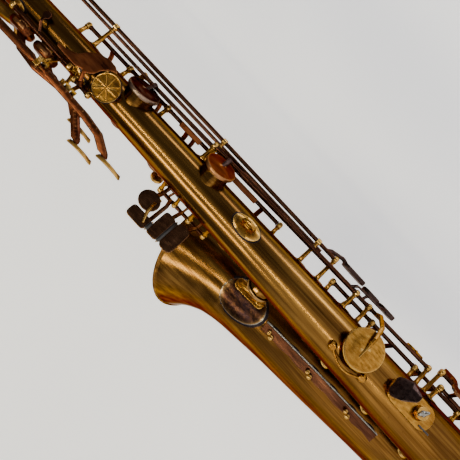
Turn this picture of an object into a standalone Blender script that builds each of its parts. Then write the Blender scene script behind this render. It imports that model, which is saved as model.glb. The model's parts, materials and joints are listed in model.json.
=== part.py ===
"""Baritone saxophone: body, bows, bell, neck and working key mechanism, in metres.

Frame: the instrument stands on its floor guard, whose flat underside has the origin at its middle.
+Z is up along the body tube, the player is at +Y, the bell at -Y, and the player's left hand at +X.
The pieces hang from one empty, BODY_AXIS, at the lower end of the body tube's axis, and every point
below is measured from it. Key work is laid out in a side frame turned SIDE_TURN about the body axis:
u points to the player's right, w towards the player.
"""

import math

import bmesh
import bpy
from mathutils import Matrix, Vector

# Bore: one cone from neck to bell, measured from its virtual tip.
CONE_TIP_Z = 1.690          # height of the cone's tip above the body's lower end
CONE_SLOPE = 0.0214         # radius gained per metre of tube
WALL = 0.0012
BODY_TOP = 0.814
GAP = 0.0003                # clearance between neighbouring pieces

# Floor guard, and the pip of the neck's octave hole.
GUARD_THICK = 0.0040
GUARD_GAP = 0.0012          # the guard's standoff from the bow
PIP_DIRECTION = Vector((0, -0.22, 1)).normalized()
PIP_RISE = 0.0135

# Bottom bow, bell and upper bow.
BOW_RADIUS = 0.0725
BOW_STRAIGHT = 0.014
BELL_START = 0.020
BELL_END = 0.430
BELL_LEAN = 0.045           # how far the mouth stands forward of the bow
BELL_CURVE = 2.5            # how late the bell leans forward
FLARE_START = 0.80          # where along the bell its flare starts to tip forward
FLARE_LEAN = 0.017          # how far the flare stands forward of the bell's own lean
BELL_PROFILE = ((0.0, 0.0408), (0.16, 0.0445), (0.40, 0.0500), (0.62, 0.0530), (0.80, 0.0575),
                (0.87, 0.0630), (0.92, 0.0710), (0.96, 0.0800), (0.985, 0.0875), (1.0, 0.0905))
LOOP_RISE = 0.050
LOOP_BEND_1 = 0.042
LOOP_BEND_2 = 0.038
LOOP_DROP = 0.030
LOOP_STEPS = 6
LOOP_SIDE = -0.036          # the returning tube passes on the player's right
RECEIVER_TOP = 0.905
NECK_TIP_RADIUS = 0.0080
NECK_STEPS = 6
NECK_POST = 5                # which points of the neck's path carry its posts and its vent
NECK_PIP = 7

# Key work.
SIDE_TURN = math.radians(18)
TUBE_R = 0.0022             # hinge tubes
POST_R = 0.0022
HEAD_R = 0.0040             # post heads
HEAD_LONG = 0.0060
CUP_RIM = 0.0025            # how far a cup overlaps its chimney
CUP_THICK = 0.0050
CUP_SIDES = 12
BIG_SIDES = 18
SMALL_SIDES = 10
SHARP = math.radians(35)
OPEN_ANGLE = 8.0            # how far an open key stands from its closed pose, in degrees
LOW_C_OPEN = 3.4
LANDING = 178.6             # angle where stack arms end, just past the middle of their cups

# Tone holes on the body: name -> (height, angle in degrees from the player, chimney radius, chimney rise).
BODY_HOLES = {
    "C": (0.680, 180, 0.0120, 0.0035),
    "B": (0.618, 180, 0.0155, 0.0035),
    "A": (0.549, 180, 0.0175, 0.0035),
    "G": (0.420, 180, 0.0190, 0.0035),
    "G_sharp": (0.352, 145, 0.0150, 0.0040),
    "F_sharp": (0.266, 180, 0.0210, 0.0040),
    "F": (0.194, 180, 0.0220, 0.0040),
    "E": (0.121, 180, 0.0230, 0.0040),
    "D": (0.047, 180, 0.0235, 0.0040),
    "trill": (0.233, 0, 0.0220, 0.0085),
    "side_C": (0.611, -47, 0.0185, 0.0055),
    "side_Bb": (0.487, -41, 0.0175, 0.0100),
    "palm_D": (0.722, 100, 0.0130, 0.0040),
    "palm_Eb": (0.7625, 100, 0.0130, 0.0040),
    "vent": (0.742, 8, 0.0032, 0.0045),
}
LOOP_HOLES = {"high_E": (0.838, 0, 0.0120, 0.0040), "palm_F": (0.846, 100, 0.0115, 0.0040)}
# Tone holes on the bow: name -> (degrees round the bend, chimney radius); they face the player's right.
BOW_HOLES = {"low_Eb": (38, 0.0230), "low_C": (122, 0.0255)}
# Tone holes on the bell: name -> (height, chimney radius); they face the player's right.
BELL_HOLES = {"low_C_sharp": (0.095, 0.0240), "low_B": (0.185, 0.0260), "low_Bb": (0.285, 0.0270)}
BELL_HOLE_ANGLE = -75
CHIMNEY_WALL = 0.0012
BIG_RISE = 0.004            # how far the chimneys of the bell and the bottom bow stand out

BRASS = ("aged_brass", (0.33, 0.21, 0.07), 0.34, 1.0)
GOLD = ("bright_brass", (0.55, 0.37, 0.12), 0.28, 1.0)
COPPER = ("copper_keys", (0.40, 0.16, 0.07), 0.36, 1.0)
DARK = ("dark_keys", (0.11, 0.055, 0.04), 0.38, 1.0)
CORK = ("cork", (0.48, 0.33, 0.19), 0.85, 0.0)
EBONITE = ("ebonite", (0.015, 0.015, 0.017), 0.25, 0.0)
CANE = ("cane", (0.72, 0.60, 0.34), 0.55, 0.0)


# ---------------------------------------------------------------- scene and materials

def clear_scene():
    for obj in list(bpy.data.objects):
        bpy.data.objects.remove(obj, do_unlink=True)


def new_collection(name):
    made = bpy.data.collections.new(name)
    bpy.context.scene.collection.children.link(made)
    return made


def material(finish):
    name, colour, roughness, metallic = finish
    found = bpy.data.materials.get(name)
    if found:
        return found
    made = bpy.data.materials.new(name)
    made.use_nodes = True
    shader = made.node_tree.nodes["Principled BSDF"]
    shader.inputs["Base Color"].default_value = (*colour, 1.0)
    shader.inputs["Roughness"].default_value = roughness
    shader.inputs["Metallic"].default_value = metallic
    return made


# ---------------------------------------------------------------- places

def side(u, w, z):
    """A point of the side frame, in the part's frame."""
    c, s = math.cos(SIDE_TURN), math.sin(SIDE_TURN)
    return Vector((-u * c + w * s, u * s + w * c, z))


def facing(angle):
    """The direction at this angle from the player, turning towards the player's left."""
    turn = math.radians(angle)
    return Vector((math.sin(turn), math.cos(turn), 0.0))


def polar(angle, rho, z):
    return facing(angle) * rho + Vector((0, 0, z))


def body_radius(z):
    return CONE_SLOPE * (CONE_TIP_Z - z)


def bell_axis(z):
    """Centre of the bell at this height."""
    part = max(0.0, (z - BELL_START) / (BELL_END - BELL_START))
    flare = max(0.0, (part - FLARE_START) / (1 - FLARE_START))
    return Vector((0.0, -2 * BOW_RADIUS - BELL_LEAN * part ** BELL_CURVE - FLARE_LEAN * flare ** 2, z))


def bell_radius(z):
    part = (z - BELL_START) / (BELL_END - BELL_START)
    for (a, ra), (b, rb) in zip(BELL_PROFILE, BELL_PROFILE[1:]):
        if part <= b:
            return ra + (rb - ra) * max(0.0, (part - a) / (b - a))
    return BELL_PROFILE[-1][1]


def bow_centre(degrees):
    """Centre of the bottom bow, from 0 at the body to 180 at the bell."""
    turn = math.radians(degrees)
    return Vector((0, -BOW_RADIUS + BOW_RADIUS * math.cos(turn), -BOW_STRAIGHT - BOW_RADIUS * math.sin(turn)))


def bow_radius(degrees):
    first = body_radius(0)
    return first + (BELL_PROFILE[0][1] - first) * degrees / 180


# ---------------------------------------------------------------- solids

def mesh_object(name, mesh):
    made = bpy.data.objects.new(name, mesh)
    WORKSHOP.objects.link(made)
    return made


def from_bmesh(name, bm):
    bmesh.ops.recalc_face_normals(bm, faces=bm.faces)
    mesh = bpy.data.meshes.new(name)
    bm.to_mesh(mesh)
    bm.free()
    return mesh_object(name, mesh)


def frustum(start, end, r_start, r_end, sides=16):
    """A closed cone or cylinder between two points."""
    start, end = Vector(start), Vector(end)
    along = end - start
    bm = bmesh.new()
    turn = along.to_track_quat("Z", "Y").to_matrix().to_4x4()
    place = Matrix.Translation((start + end) / 2) @ turn
    bmesh.ops.create_cone(bm, cap_ends=True, segments=sides, radius1=r_start, radius2=r_end,
                          depth=along.length, matrix=place)
    return from_bmesh("frustum", bm)


def ball(centre, radius, around=10, rings=7):
    bm = bmesh.new()
    bmesh.ops.create_uvsphere(bm, u_segments=around, v_segments=rings, radius=radius,
                              matrix=Matrix.Translation(centre))
    return from_bmesh("ball", bm)


def box(centre, size, x_dir=(1, 0, 0), z_dir=(0, 0, 1)):
    """A box with its own X along x_dir and its own Z along z_dir."""
    z = Vector(z_dir).normalized()
    x = (Vector(x_dir) - Vector(x_dir).dot(z) * z).normalized()
    turn = Matrix((x, z.cross(x), z)).transposed().to_4x4()
    bm = bmesh.new()
    place = Matrix.Translation(centre) @ turn @ Matrix.Diagonal((*size, 1))
    bmesh.ops.create_cube(bm, size=1, matrix=place)
    return from_bmesh("box", bm)


def solid_of_curve(data):
    """The evaluated mesh of a curve, with its caps welded to its sides."""
    curve = bpy.data.objects.new("curve", data)
    WORKSHOP.objects.link(curve)
    bpy.context.view_layer.update()
    graph = bpy.context.evaluated_depsgraph_get()
    mesh = bpy.data.meshes.new_from_object(curve.evaluated_get(graph))
    bpy.data.objects.remove(curve, do_unlink=True)
    bm = bmesh.new()
    bm.from_mesh(mesh)
    bmesh.ops.remove_doubles(bm, verts=bm.verts, dist=0.00001)
    return bm


def tube(points, radii, sides=16, closed=False):
    """A solid round bar through the points, with its own radius at each."""
    data = bpy.data.curves.new("tube", "CURVE")
    data.dimensions = "3D"
    data.bevel_depth = 1.0
    data.bevel_resolution = (sides - 4) // 2
    data.use_fill_caps = not closed
    spline = data.splines.new("POLY")
    spline.points.add(len(points) - 1)
    spline.use_cyclic_u = closed
    for point, place, radius in zip(spline.points, points, radii):
        point.co = (*place, 1)
        point.radius = radius
    return from_bmesh("tube", solid_of_curve(data))


def arm(points, widths, up, thin=0.5, sides=6):
    """A key arm: a bar through the points, thinned along up to an oval section."""
    up = Vector(up).normalized()
    middle = Vector(points[0])
    stretched = [Vector(p) + up * (Vector(p) - middle).dot(up) * (1 / thin - 1) for p in points]
    made = tube(stretched, [w / 2 for w in widths], sides)
    for vertex in made.data.vertices:
        vertex.co -= up * (vertex.co - middle).dot(up) * (1 - thin)
    return made


def plate(outline, centre, x_dir, normal, thick):
    """A flat plate from an outline in its own plane, its near face at centre + normal * thick / 2."""
    data = bpy.data.curves.new("plate", "CURVE")
    data.dimensions = "2D"
    data.fill_mode = "BOTH"
    data.extrude = thick / 2
    spline = data.splines.new("POLY")
    spline.points.add(len(outline) - 1)
    spline.use_cyclic_u = True
    for point, (x, y) in zip(spline.points, outline):
        point.co = (x, y, 0, 1)
    bm = solid_of_curve(data)
    z = Vector(normal).normalized()
    x = (Vector(x_dir) - Vector(x_dir).dot(z) * z).normalized()
    turn = Matrix((x, z.cross(x), z)).transposed().to_4x4()
    bm.transform(Matrix.Translation(centre) @ turn)
    return from_bmesh("plate", bm)


def oval(long, wide, sides=16):
    """An oval outline of this length and width."""
    turns = [2 * math.pi * i / sides for i in range(sides)]
    return [(long / 2 * math.cos(t), wide / 2 * math.sin(t)) for t in turns]


def rounded(long, wide, corner, steps=3):
    """A rectangle outline with round corners."""
    points = []
    for quarter, (sx, sy) in enumerate(((1, 1), (-1, 1), (-1, -1), (1, -1))):
        for step in range(steps + 1):
            turn = math.pi / 2 * (quarter + step / steps)
            points.append((sx * (long / 2 - corner) + corner * math.cos(turn),
                           sy * (wide / 2 - corner) + corner * math.sin(turn)))
    return points


def remove(objects):
    for obj in objects:
        bpy.data.objects.remove(obj, do_unlink=True)


def assemble(name, finish, solids, cuts=(), hinge=None, rest=0.0):
    """One named piece: the union of the solids, less the cuts, with its origin on its hinge.

    hinge is (point, direction): the piece's own Z axis lies along the direction. rest is how many
    degrees the piece stands back, at rest, from the pose that its solids are placed in.
    """
    base = solids[0]
    for kind, others in (("UNION", solids[1:]), ("DIFFERENCE", cuts)):
        for number, other in enumerate(others):
            other.display_type = "WIRE"
            join = base.modifiers.new(f"{kind.lower()}_{number}", "BOOLEAN")
            join.operation = kind
            join.object = other
    bpy.context.view_layer.update()
    graph = bpy.context.evaluated_depsgraph_get()
    mesh = bpy.data.meshes.new_from_object(base.evaluated_get(graph))
    remove([base, *solids[1:], *cuts])
    place = Matrix.Identity(4)
    if hinge:
        point, direction = hinge
        place = Matrix.Translation(point) @ Vector(direction).to_track_quat("Z", "Y").to_matrix().to_4x4()
    mesh.transform(Matrix.Rotation(math.radians(-rest), 4, "Z") @ place.inverted())
    mesh.name = name
    mesh.materials.clear()
    mesh.materials.append(material(finish))
    mesh.shade_smooth()
    mesh.set_sharp_from_angle(angle=SHARP)
    made = bpy.data.objects.new(name, mesh)
    made.parent = BODY_AXIS
    made.matrix_basis = place
    PART.objects.link(made)
    return made


# ---------------------------------------------------------------- key parts

def cup(base, normal, start, radius):
    """A pad cup: its pad side stands start away from base along normal."""
    normal = Vector(normal)
    points = [base + normal * (start + rise) for rise in (0, CUP_THICK * 0.7, CUP_THICK)]
    return tube(points, [radius, radius, radius * 0.86], CUP_SIDES)


def hinge_tube(start, end):
    return frustum(start, end, TUBE_R, TUBE_R, 6)


def post(root, head, along, root_r=POST_R * 1.5):
    """A post from the tube's wall at root to a head on the hinge line."""
    head, along = Vector(head), Vector(along).normalized()
    half = along * HEAD_LONG / 2
    return [frustum(root, head, root_r, POST_R, 4), frustum(head - half, head + half, HEAD_R, HEAD_R, 5)]


def body_post(head, along=(0, 0, 1)):
    """A post that stands square on the body tube."""
    head = Vector(head)
    out = Vector((head.x, head.y, 0)).normalized()
    root = out * (body_radius(head.z) - 0.004) + Vector((0, 0, head.z))
    return post(root, head, along)


def bell_post(head, along=(0, 0, 1)):
    """A post that stands square on the bell."""
    head = Vector(head)
    centre = bell_axis(head.z)
    out = (head - centre).normalized()
    return post(centre + out * (bell_radius(head.z) - 0.004), head, along)


class Line:
    """A hinge line between two points. Pieces on it are placed by their height."""

    def __init__(self, low, high):
        self.low, self.high = Vector(low), Vector(high)
        self.along = (self.high - self.low).normalized()

    def at(self, z):
        return self.low + (self.high - self.low) * (z - self.low.z) / (self.high.z - self.low.z)

    def tube(self, low, high):
        """A hinge tube between two post heads at these heights, clear of both."""
        clear = self.along * (HEAD_LONG / 2 + 0.0004)
        return hinge_tube(self.at(low) + clear, self.at(high) - clear)

    def hinge(self, low, high, turn=1):
        """The joint's point and axis; turn is +1 or -1 so that pressing the key is positive."""
        return (self.at((low + high) / 2), self.along * turn)


SIDE_A = Line(side(0.0612, -0.010, 0.346), side(0.0557, -0.010, 0.715))
SIDE_B = Line(side(0.0565, -0.014, 0.146), side(0.0407, -0.014, 0.678))
SIDE_D = Line(side(0.0530, 0.0005, 0.250), side(0.0475, 0.0005, 0.487))
STACK = Line(side(0.0455, -0.018, 0.152), side(0.0350, -0.018, 0.678))
OCTAVE = Line(side(-0.0158, 0.0245, 0.680), side(-0.0152, 0.0220, 0.790))
G_SHARP = Line((0.010, -0.0515, 0.330), (0.010, -0.0500, 0.520))
TABLE = Line((0.0190, -0.0600, 0.440), (0.0190, -0.0600, 0.530))
BELL_KEYS = Line((-0.0200, -0.0880, 0.070), (-0.0200, -0.0880, 0.450))
LOW_EB = Line((-0.0420, 0.0225, -0.080), (-0.0450, 0.0225, 0.140))
LOW_EB_END = -0.040
LOW_C = Line((-0.0620, 0.0160, 0.010), (-0.0620, 0.0160, 0.140))


def hole_base(name):
    """Axis point, outward normal, rim distance and chimney radius of a body or loop tone hole."""
    z, angle, radius, rise = (BODY_HOLES.get(name) or LOOP_HOLES[name])
    shell = body_radius(z) if name in BODY_HOLES else loop_radius_at(z)
    return Vector((0, 0, z)), facing(angle), shell + rise, radius


def body_cup(name):
    base, normal, rim, radius = hole_base(name)
    return cup(base, normal, rim + GAP, radius + CUP_RIM)


def cup_top(name, extra=0.0005):
    """The point on top of a cup where its arm lands."""
    base, normal, rim, _ = hole_base(name)
    return base + normal * (rim + GAP + CUP_THICK + extra)


def around(line, z, angle_to, rho_to, z_to, steps=3, bulge=0.0):
    """Points from a hinge line round the body to an angle and distance, for an arm."""
    start = line.at(z)
    angle_from = math.degrees(math.atan2(start.x, start.y))
    if angle_to - angle_from > 180:
        angle_from += 360
    rho_from = math.hypot(start.x, start.y)
    points = []
    for step in range(steps + 1):
        part = step / steps
        rho = rho_from + (rho_to - rho_from) * part + bulge * math.sin(math.pi * part)
        points.append(polar(angle_from + (angle_to - angle_from) * part, rho, z + (z_to - z) * part))
    return points


# ---------------------------------------------------------------- tubes

def chimney(base, normal, rim, radius):
    """Outer wall of a tone hole, and the cutter for its bore."""
    normal = Vector(normal)
    outer = frustum(base + normal * 0.004, base + normal * rim, radius, radius, CUP_SIDES)
    bore_r = radius - CHIMNEY_WALL
    bore = frustum(base + normal * 0.006, base + normal * (rim + 0.010), bore_r, bore_r, CUP_SIDES)
    return outer, bore


def tone_holes(holes):
    outers, bores = [], []
    for base, normal, rim, radius in holes:
        outer, bore = chimney(base, normal, rim, radius)
        outers.append(outer)
        bores.append(bore)
    return outers, bores


def build_body():
    shell = tube([(0, 0, GAP), (0, 0, BODY_TOP)], [body_radius(0), body_radius(BODY_TOP)], 24)
    bore = tube([(0, 0, -0.01), (0, 0, BODY_TOP + 0.01)],
                [body_radius(-0.01) - WALL, body_radius(BODY_TOP + 0.01) - WALL], 24)
    outers, bores = tone_holes([hole_base(name) for name in BODY_HOLES])
    posts = []
    for z in (0.697, 0.508, 0.344):
        head = SIDE_A.at(z)
        out = Vector((head.x, head.y, 0)).normalized()
        top = head - out * (TUBE_R + 0.0006)
        posts.append(frustum(out * (body_radius(z) - 0.004) + Vector((0, 0, z)), top, 0.0036, 0.0026, 6))
    heads = [(SIDE_A, 0.318), (SIDE_B, 0.632), (SIDE_B, 0.249), (SIDE_B, 0.148),
             (SIDE_D, 0.512), (SIDE_D, 0.2745), (STACK, 0.722), (STACK, 0.650), (STACK, 0.585),
             (STACK, 0.505), (STACK, 0.392), (STACK, 0.300), (STACK, 0.232), (STACK, 0.158), (STACK, 0.084),
             (STACK, 0.014), (OCTAVE, 0.684), (OCTAVE, 0.779), (G_SHARP, 0.330), (G_SHARP, 0.524),
             (TABLE, 0.445), (TABLE, 0.4715), (TABLE, 0.498), (TABLE, 0.5245),
             (LOW_EB, 0.131), (LOW_C, 0.016), (LOW_C, 0.138)]
    for line, z in heads:
        posts += body_post(line.at(z), line.along)
    for hinge_z, w in PALM_PIVOTS:
        posts += palm_saddle(hinge_z, w)
    posts += octave_lever_posts()
    assemble("body_tube", BRASS, [shell, *outers, *posts], [bore, *bores])


def build_bottom_bow():
    steps = 8
    angles = [180 * i / steps for i in range(steps + 1)]
    points = [Vector((0, 0, -GAP)), *[bow_centre(a) for a in angles],
              Vector((0, -2 * BOW_RADIUS, BELL_START - GAP))]
    radii = [bow_radius(0), *[bow_radius(a) for a in angles], bow_radius(180)]
    inner = [Vector((0, 0, 0.01)), *points[1:-1], Vector((0, -2 * BOW_RADIUS, BELL_START + 0.01))]
    shell = tube(points, radii, BIG_SIDES)
    bore = tube(inner, [r - WALL for r in radii], BIG_SIDES)
    holes = [(bow_centre(a), Vector((-1, 0, 0)), bow_radius(a) + BIG_RISE, r) for a, r in BOW_HOLES.values()]
    outers, bores = tone_holes(holes)
    posts = post(bow_centre(25) + Vector((-0.028, 0.006, 0)), LOW_EB.at(LOW_EB_END), LOW_EB.along)
    assemble("bottom_bow", BRASS, [shell, *outers, *posts], [bore, *bores])


def build_bell():
    count = 4
    straight = [BELL_START + GAP + (BELL_END - BELL_START - GAP) * 0.80 * i / count for i in range(count)]
    flare = [BELL_START + (BELL_END - BELL_START) * part for part, _ in BELL_PROFILE[4:]]
    heights = straight + flare
    points = [bell_axis(z) for z in heights]
    radii = [bell_radius(z) for z in heights]
    shell = tube(points, radii, BIG_SIDES)
    mouth = points[-1] + (points[-1] - points[-2]).normalized() * 0.02
    low = Vector((0, -2 * BOW_RADIUS, BELL_START - 0.01))
    bore_radii = [radii[0] - WALL, *[r - WALL * 1.2 for r in radii[1:]], radii[-1] + 0.004]
    bore = tube([low, *points[1:], mouth], bore_radii, BIG_SIDES)
    holes = []
    for z, radius in BELL_HOLES.values():
        holes.append((bell_axis(z), facing(BELL_HOLE_ANGLE), bell_radius(z) + BIG_RISE, radius))
    outers, bores = tone_holes(holes)
    posts = []
    for z in (0.070, 0.140, 0.240, 0.335):
        posts += bell_post(BELL_KEYS.at(z))
    assemble("bell", BRASS, [shell, *outers, *posts], [bore, *bores])


def loop_path():
    """Centre of the upper bow, from the body to the neck receiver."""
    up = BODY_TOP + LOOP_RISE
    points = [Vector((0, 0, BODY_TOP + GAP)), Vector((0, 0, BODY_TOP + 0.025)), Vector((0, 0, up))]
    for step in range(1, LOOP_STEPS + 1):
        turn = math.pi * step / LOOP_STEPS
        points.append(Vector((0, -LOOP_BEND_1 * (1 - math.cos(turn)), up + LOOP_BEND_1 * math.sin(turn))))
    low = up - LOOP_DROP
    shift = LOOP_SIDE
    start_y = -2 * LOOP_BEND_1
    for step in range(LOOP_STEPS + 1):
        turn = math.pi * step / LOOP_STEPS
        part = step / LOOP_STEPS
        across = shift * (3 * part ** 2 - 2 * part ** 3)
        points.append(Vector((across, start_y + LOOP_BEND_2 * (1 - math.cos(turn)),
                              low - LOOP_BEND_2 * math.sin(turn))))
    end_y = start_y + 2 * LOOP_BEND_2
    points.append(Vector((shift, end_y, RECEIVER_TOP - 0.030)))
    return points


def path_lengths(points):
    lengths = [0.0]
    for a, b in zip(points, points[1:]):
        lengths.append(lengths[-1] + (b - a).length)
    return lengths


def loop_radii(points):
    lengths = path_lengths(points)
    first, last = body_radius(BODY_TOP), 0.0120
    return [first + (last - first) * s / lengths[-1] for s in lengths]


def loop_radius_at(z):
    """Radius of the upper bow's straight part above the body."""
    points = loop_path()
    radii = loop_radii(points)
    part = (z - points[0].z) / (points[2].z - points[0].z)
    return radii[0] + (radii[2] - radii[0]) * part


def build_upper_bow():
    points = loop_path()
    radii = loop_radii(points)
    ends = [points[0] - Vector((0, 0, 0.01)), points[-1] + Vector((0, 0, 0.01))]
    shell = tube(points, radii, SMALL_SIDES)
    bore = tube([ends[0], *points[1:-1], ends[1]], [r - WALL for r in radii], SMALL_SIDES)
    outers, bores = tone_holes([hole_base(name) for name in LOOP_HOLES])
    head = WATER_LINE.at(0)
    posts = post(Vector((0, -2 * LOOP_BEND_1, head.z)), WATER_LINE.low, WATER_LINE.along, 0.003)
    posts += post(Vector((0, -2 * LOOP_BEND_1, head.z)), WATER_LINE.high, WATER_LINE.along, 0.003)
    e_top = SIDE_A.at(0.852)
    e_root = Vector((e_top.x, e_top.y, 0)).normalized() * 0.012 + Vector((0, 0, e_top.z))
    posts += post(e_root, e_top, SIDE_A.along)
    assemble("upper_bow", BRASS, [shell, *outers, *posts], [bore, *bores])


def ring(name, finish, centre, axis, inner, outer, half, sides=24):
    axis = Vector(axis).normalized() * half
    centre = Vector(centre)
    shell = frustum(centre - axis, centre + axis, outer, outer, sides)
    bore = frustum(centre - axis * 2, centre + axis * 2, inner, inner, sides)
    assemble(name, finish, [shell], [bore])


def build_ferrules():
    grow = 0.0010
    low = body_radius(0)
    ring("body_bow_ferrule", GOLD, (0, 0, 0), (0, 0, 1), low + grow, low + 0.0035, 0.0075)
    bell = BELL_PROFILE[0][1]
    foot = (0, -2 * BOW_RADIUS, BELL_START)
    ring("bell_bow_ferrule", GOLD, foot, (0, 0, 1), bell + grow, bell + 0.0035, 0.010)
    top = body_radius(BODY_TOP)
    ring("upper_bow_ferrule", GOLD, (0, 0, BODY_TOP), (0, 0, 1), top + 0.0008, top + 0.003, 0.007)


class WaterLine:
    """Pin of the water key, across the front of the upper bow's second bend."""

    low = Vector((-0.011, -0.1072, 0.812))
    high = Vector((0.011, -0.1072, 0.812))
    along = Vector((1, 0, 0))

    def at(self, x):
        return Vector((x, self.low.y, self.low.z))


WATER_LINE = WaterLine()


def build_neck_receiver():
    """Socket of the neck, with two split lugs for the clamp screw."""
    x, y = LOOP_SIDE, -2 * LOOP_BEND_1 + 2 * LOOP_BEND_2
    low, high = Vector((x, y, RECEIVER_TOP - 0.030 + GAP)), Vector((x, y, RECEIVER_TOP))
    shell = frustum(low, high, 0.0152, 0.0152, 24)
    lug = box(Vector((x, y + 0.0185, RECEIVER_TOP - 0.012)), (0.010, 0.012, 0.012))
    bore = frustum(low - Vector((0, 0, 0.01)), high + Vector((0, 0, 0.01)), 0.0125, 0.0125, 24)
    slot = box(Vector((x, y + 0.018, RECEIVER_TOP - 0.010)), (0.0016, 0.022, 0.030))
    hole = frustum((x - 0.02, y + 0.0195, RECEIVER_TOP - 0.012), (x + 0.02, y + 0.0195, RECEIVER_TOP - 0.012),
                   0.0022, 0.0022, 10)
    assemble("neck_receiver", GOLD, [shell, lug], [bore, slot, hole])
    centre = Vector((x, y + 0.0195, RECEIVER_TOP - 0.012))
    pin = frustum(centre - Vector((0.008, 0, 0)), centre + Vector((0.012, 0, 0)), 0.0018, 0.0018, 10)
    wing = plate(oval(0.016, 0.011, 12), centre + Vector((0.0165, 0, 0)), (0, 1, 0), (0, 0, 1), 0.003)
    head = frustum(centre + Vector((0.0062, 0, 0)), centre + Vector((0.012, 0, 0)), 0.0042, 0.0042, 12)
    assemble("neck_clamp_screw", GOLD, [head, pin, wing], hinge=(centre, (1, 0, 0)))


def neck_path():
    """Centre of the neck from its tenon to its tip."""
    x, y = LOOP_SIDE, -2 * LOOP_BEND_1 + 2 * LOOP_BEND_2
    bend = 0.055
    rise = RECEIVER_TOP + 0.025
    points = [Vector((x, y, RECEIVER_TOP - 0.024)), Vector((x, y, RECEIVER_TOP)), Vector((x, y, rise))]
    last = math.radians(98)
    for step in range(1, NECK_STEPS + 1):
        turn = last * step / NECK_STEPS
        points.append(Vector((x, y + bend * (1 - math.cos(turn)), rise + bend * math.sin(turn))))
    ahead = Vector((0, math.sin(last), math.cos(last)))
    points.append(points[-1] + ahead * 0.035)
    points.append(points[-1] + ahead * 0.034)
    return points, ahead


def build_neck():
    points, ahead = neck_path()
    lengths = path_lengths(points)
    radii = [0.0120 + (NECK_TIP_RADIUS - 0.0120) * s / lengths[-1] for s in lengths]
    shell = tube(points, radii, SMALL_SIDES)
    bore = tube([points[0] - Vector((0, 0, 0.01)), *points[1:-1], points[-1] + ahead * 0.01],
                [r - WALL for r in radii], SMALL_SIDES)
    seat = Vector((LOOP_SIDE, points[1].y, RECEIVER_TOP))
    collar = frustum(seat + Vector((0, 0, GAP)), seat + Vector((0, 0, 0.004)), 0.0150, 0.0150, 20)
    posts = []
    for head in neck_key_line():
        posts += post(points[NECK_POST], head, (1, 0, 0), 0.0026)
    pip = frustum(points[NECK_PIP], points[NECK_PIP] + PIP_DIRECTION * PIP_RISE, 0.0034, 0.0026, 10)
    swivel = (seat, (0, 0, 1))
    assemble("neck", GOLD, [shell, collar, *posts, pip], [bore], hinge=swivel)
    cork_from, cork_to = points[-2] + ahead * 0.004, points[-1] - ahead * 0.0005
    cork = frustum(cork_from, cork_to, 0.0108, 0.0104, 16)
    margin = ahead * 0.002
    clear = [radius + GAP * 1.5 for radius in radii[-2:]]
    hole = tube([points[-2] - margin, points[-1] + margin], clear, 16)
    assemble("neck_cork", CORK, [cork], [hole])
    build_mouthpiece(points[-1], ahead)


def neck_key_line():
    points, _ = neck_path()
    back = points[NECK_POST] + Vector((0, -0.60, 0.80)).normalized() * 0.018
    return back + Vector((-0.0085, 0, 0)), back + Vector((0.0085, 0, 0))


def build_mouthpiece(tip, ahead):
    """Mouthpiece with its window under the reed, the reed and the two-screw ligature."""
    down = Vector((0, ahead.z, -ahead.y))
    start = tip - ahead * 0.022
    end = tip + ahead * 0.082
    shank = frustum(start, start + ahead * 0.060, 0.0150, 0.0158, 20)
    beak = tube([start + ahead * 0.0595, start + ahead * 0.080, end - ahead * 0.001],
                [0.0158, 0.0135, 0.0070], 20)
    bore = frustum(start - ahead * 0.005, start + ahead * 0.070, 0.0113, 0.0113, 16)
    table = box(start + ahead * 0.075 + down * 0.0180, (0.09, 0.10, 0.0120), ahead, down)
    window = box(start + ahead * 0.083 + down * 0.010, (0.030, 0.0120, 0.0100), ahead, down)
    slope = box(end - ahead * 0.004 - down * 0.0145, (0.060, 0.06, 0.018), ahead - down * -0.26, down)
    assemble("mouthpiece", EBONITE, [shank, beak], [bore, table, window, slope],
             hinge=(start, ahead))
    reed = box(start + ahead * 0.067 + down * 0.0133, (0.066, 0.0160, 0.0020), ahead, down)
    assemble("reed", CANE, [reed])
    middle = start + ahead * 0.048
    band = frustum(middle - ahead * 0.011, middle + ahead * 0.011, 0.0186, 0.0186, 24)
    screws = []
    for along in (-0.006, 0.006):
        foot = middle + ahead * along + down * 0.0210
        screws.append(frustum(foot - Vector((0.013, 0, 0)), foot + Vector((0.013, 0, 0)), 0.0018, 0.0018, 8))
        screws.append(frustum(foot + Vector((0.011, 0, 0)), foot + Vector((0.016, 0, 0)), 0.0045, 0.0045, 12))
    lug = box(middle + down * 0.0195, (0.020, 0.009, 0.007), ahead, down)
    hollow = frustum(middle - ahead * 0.02, middle + ahead * 0.02, 0.0172, 0.0172, 24)
    assemble("ligature", GOLD, [band, lug, *screws], [hollow])


# ---------------------------------------------------------------- fittings

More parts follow.
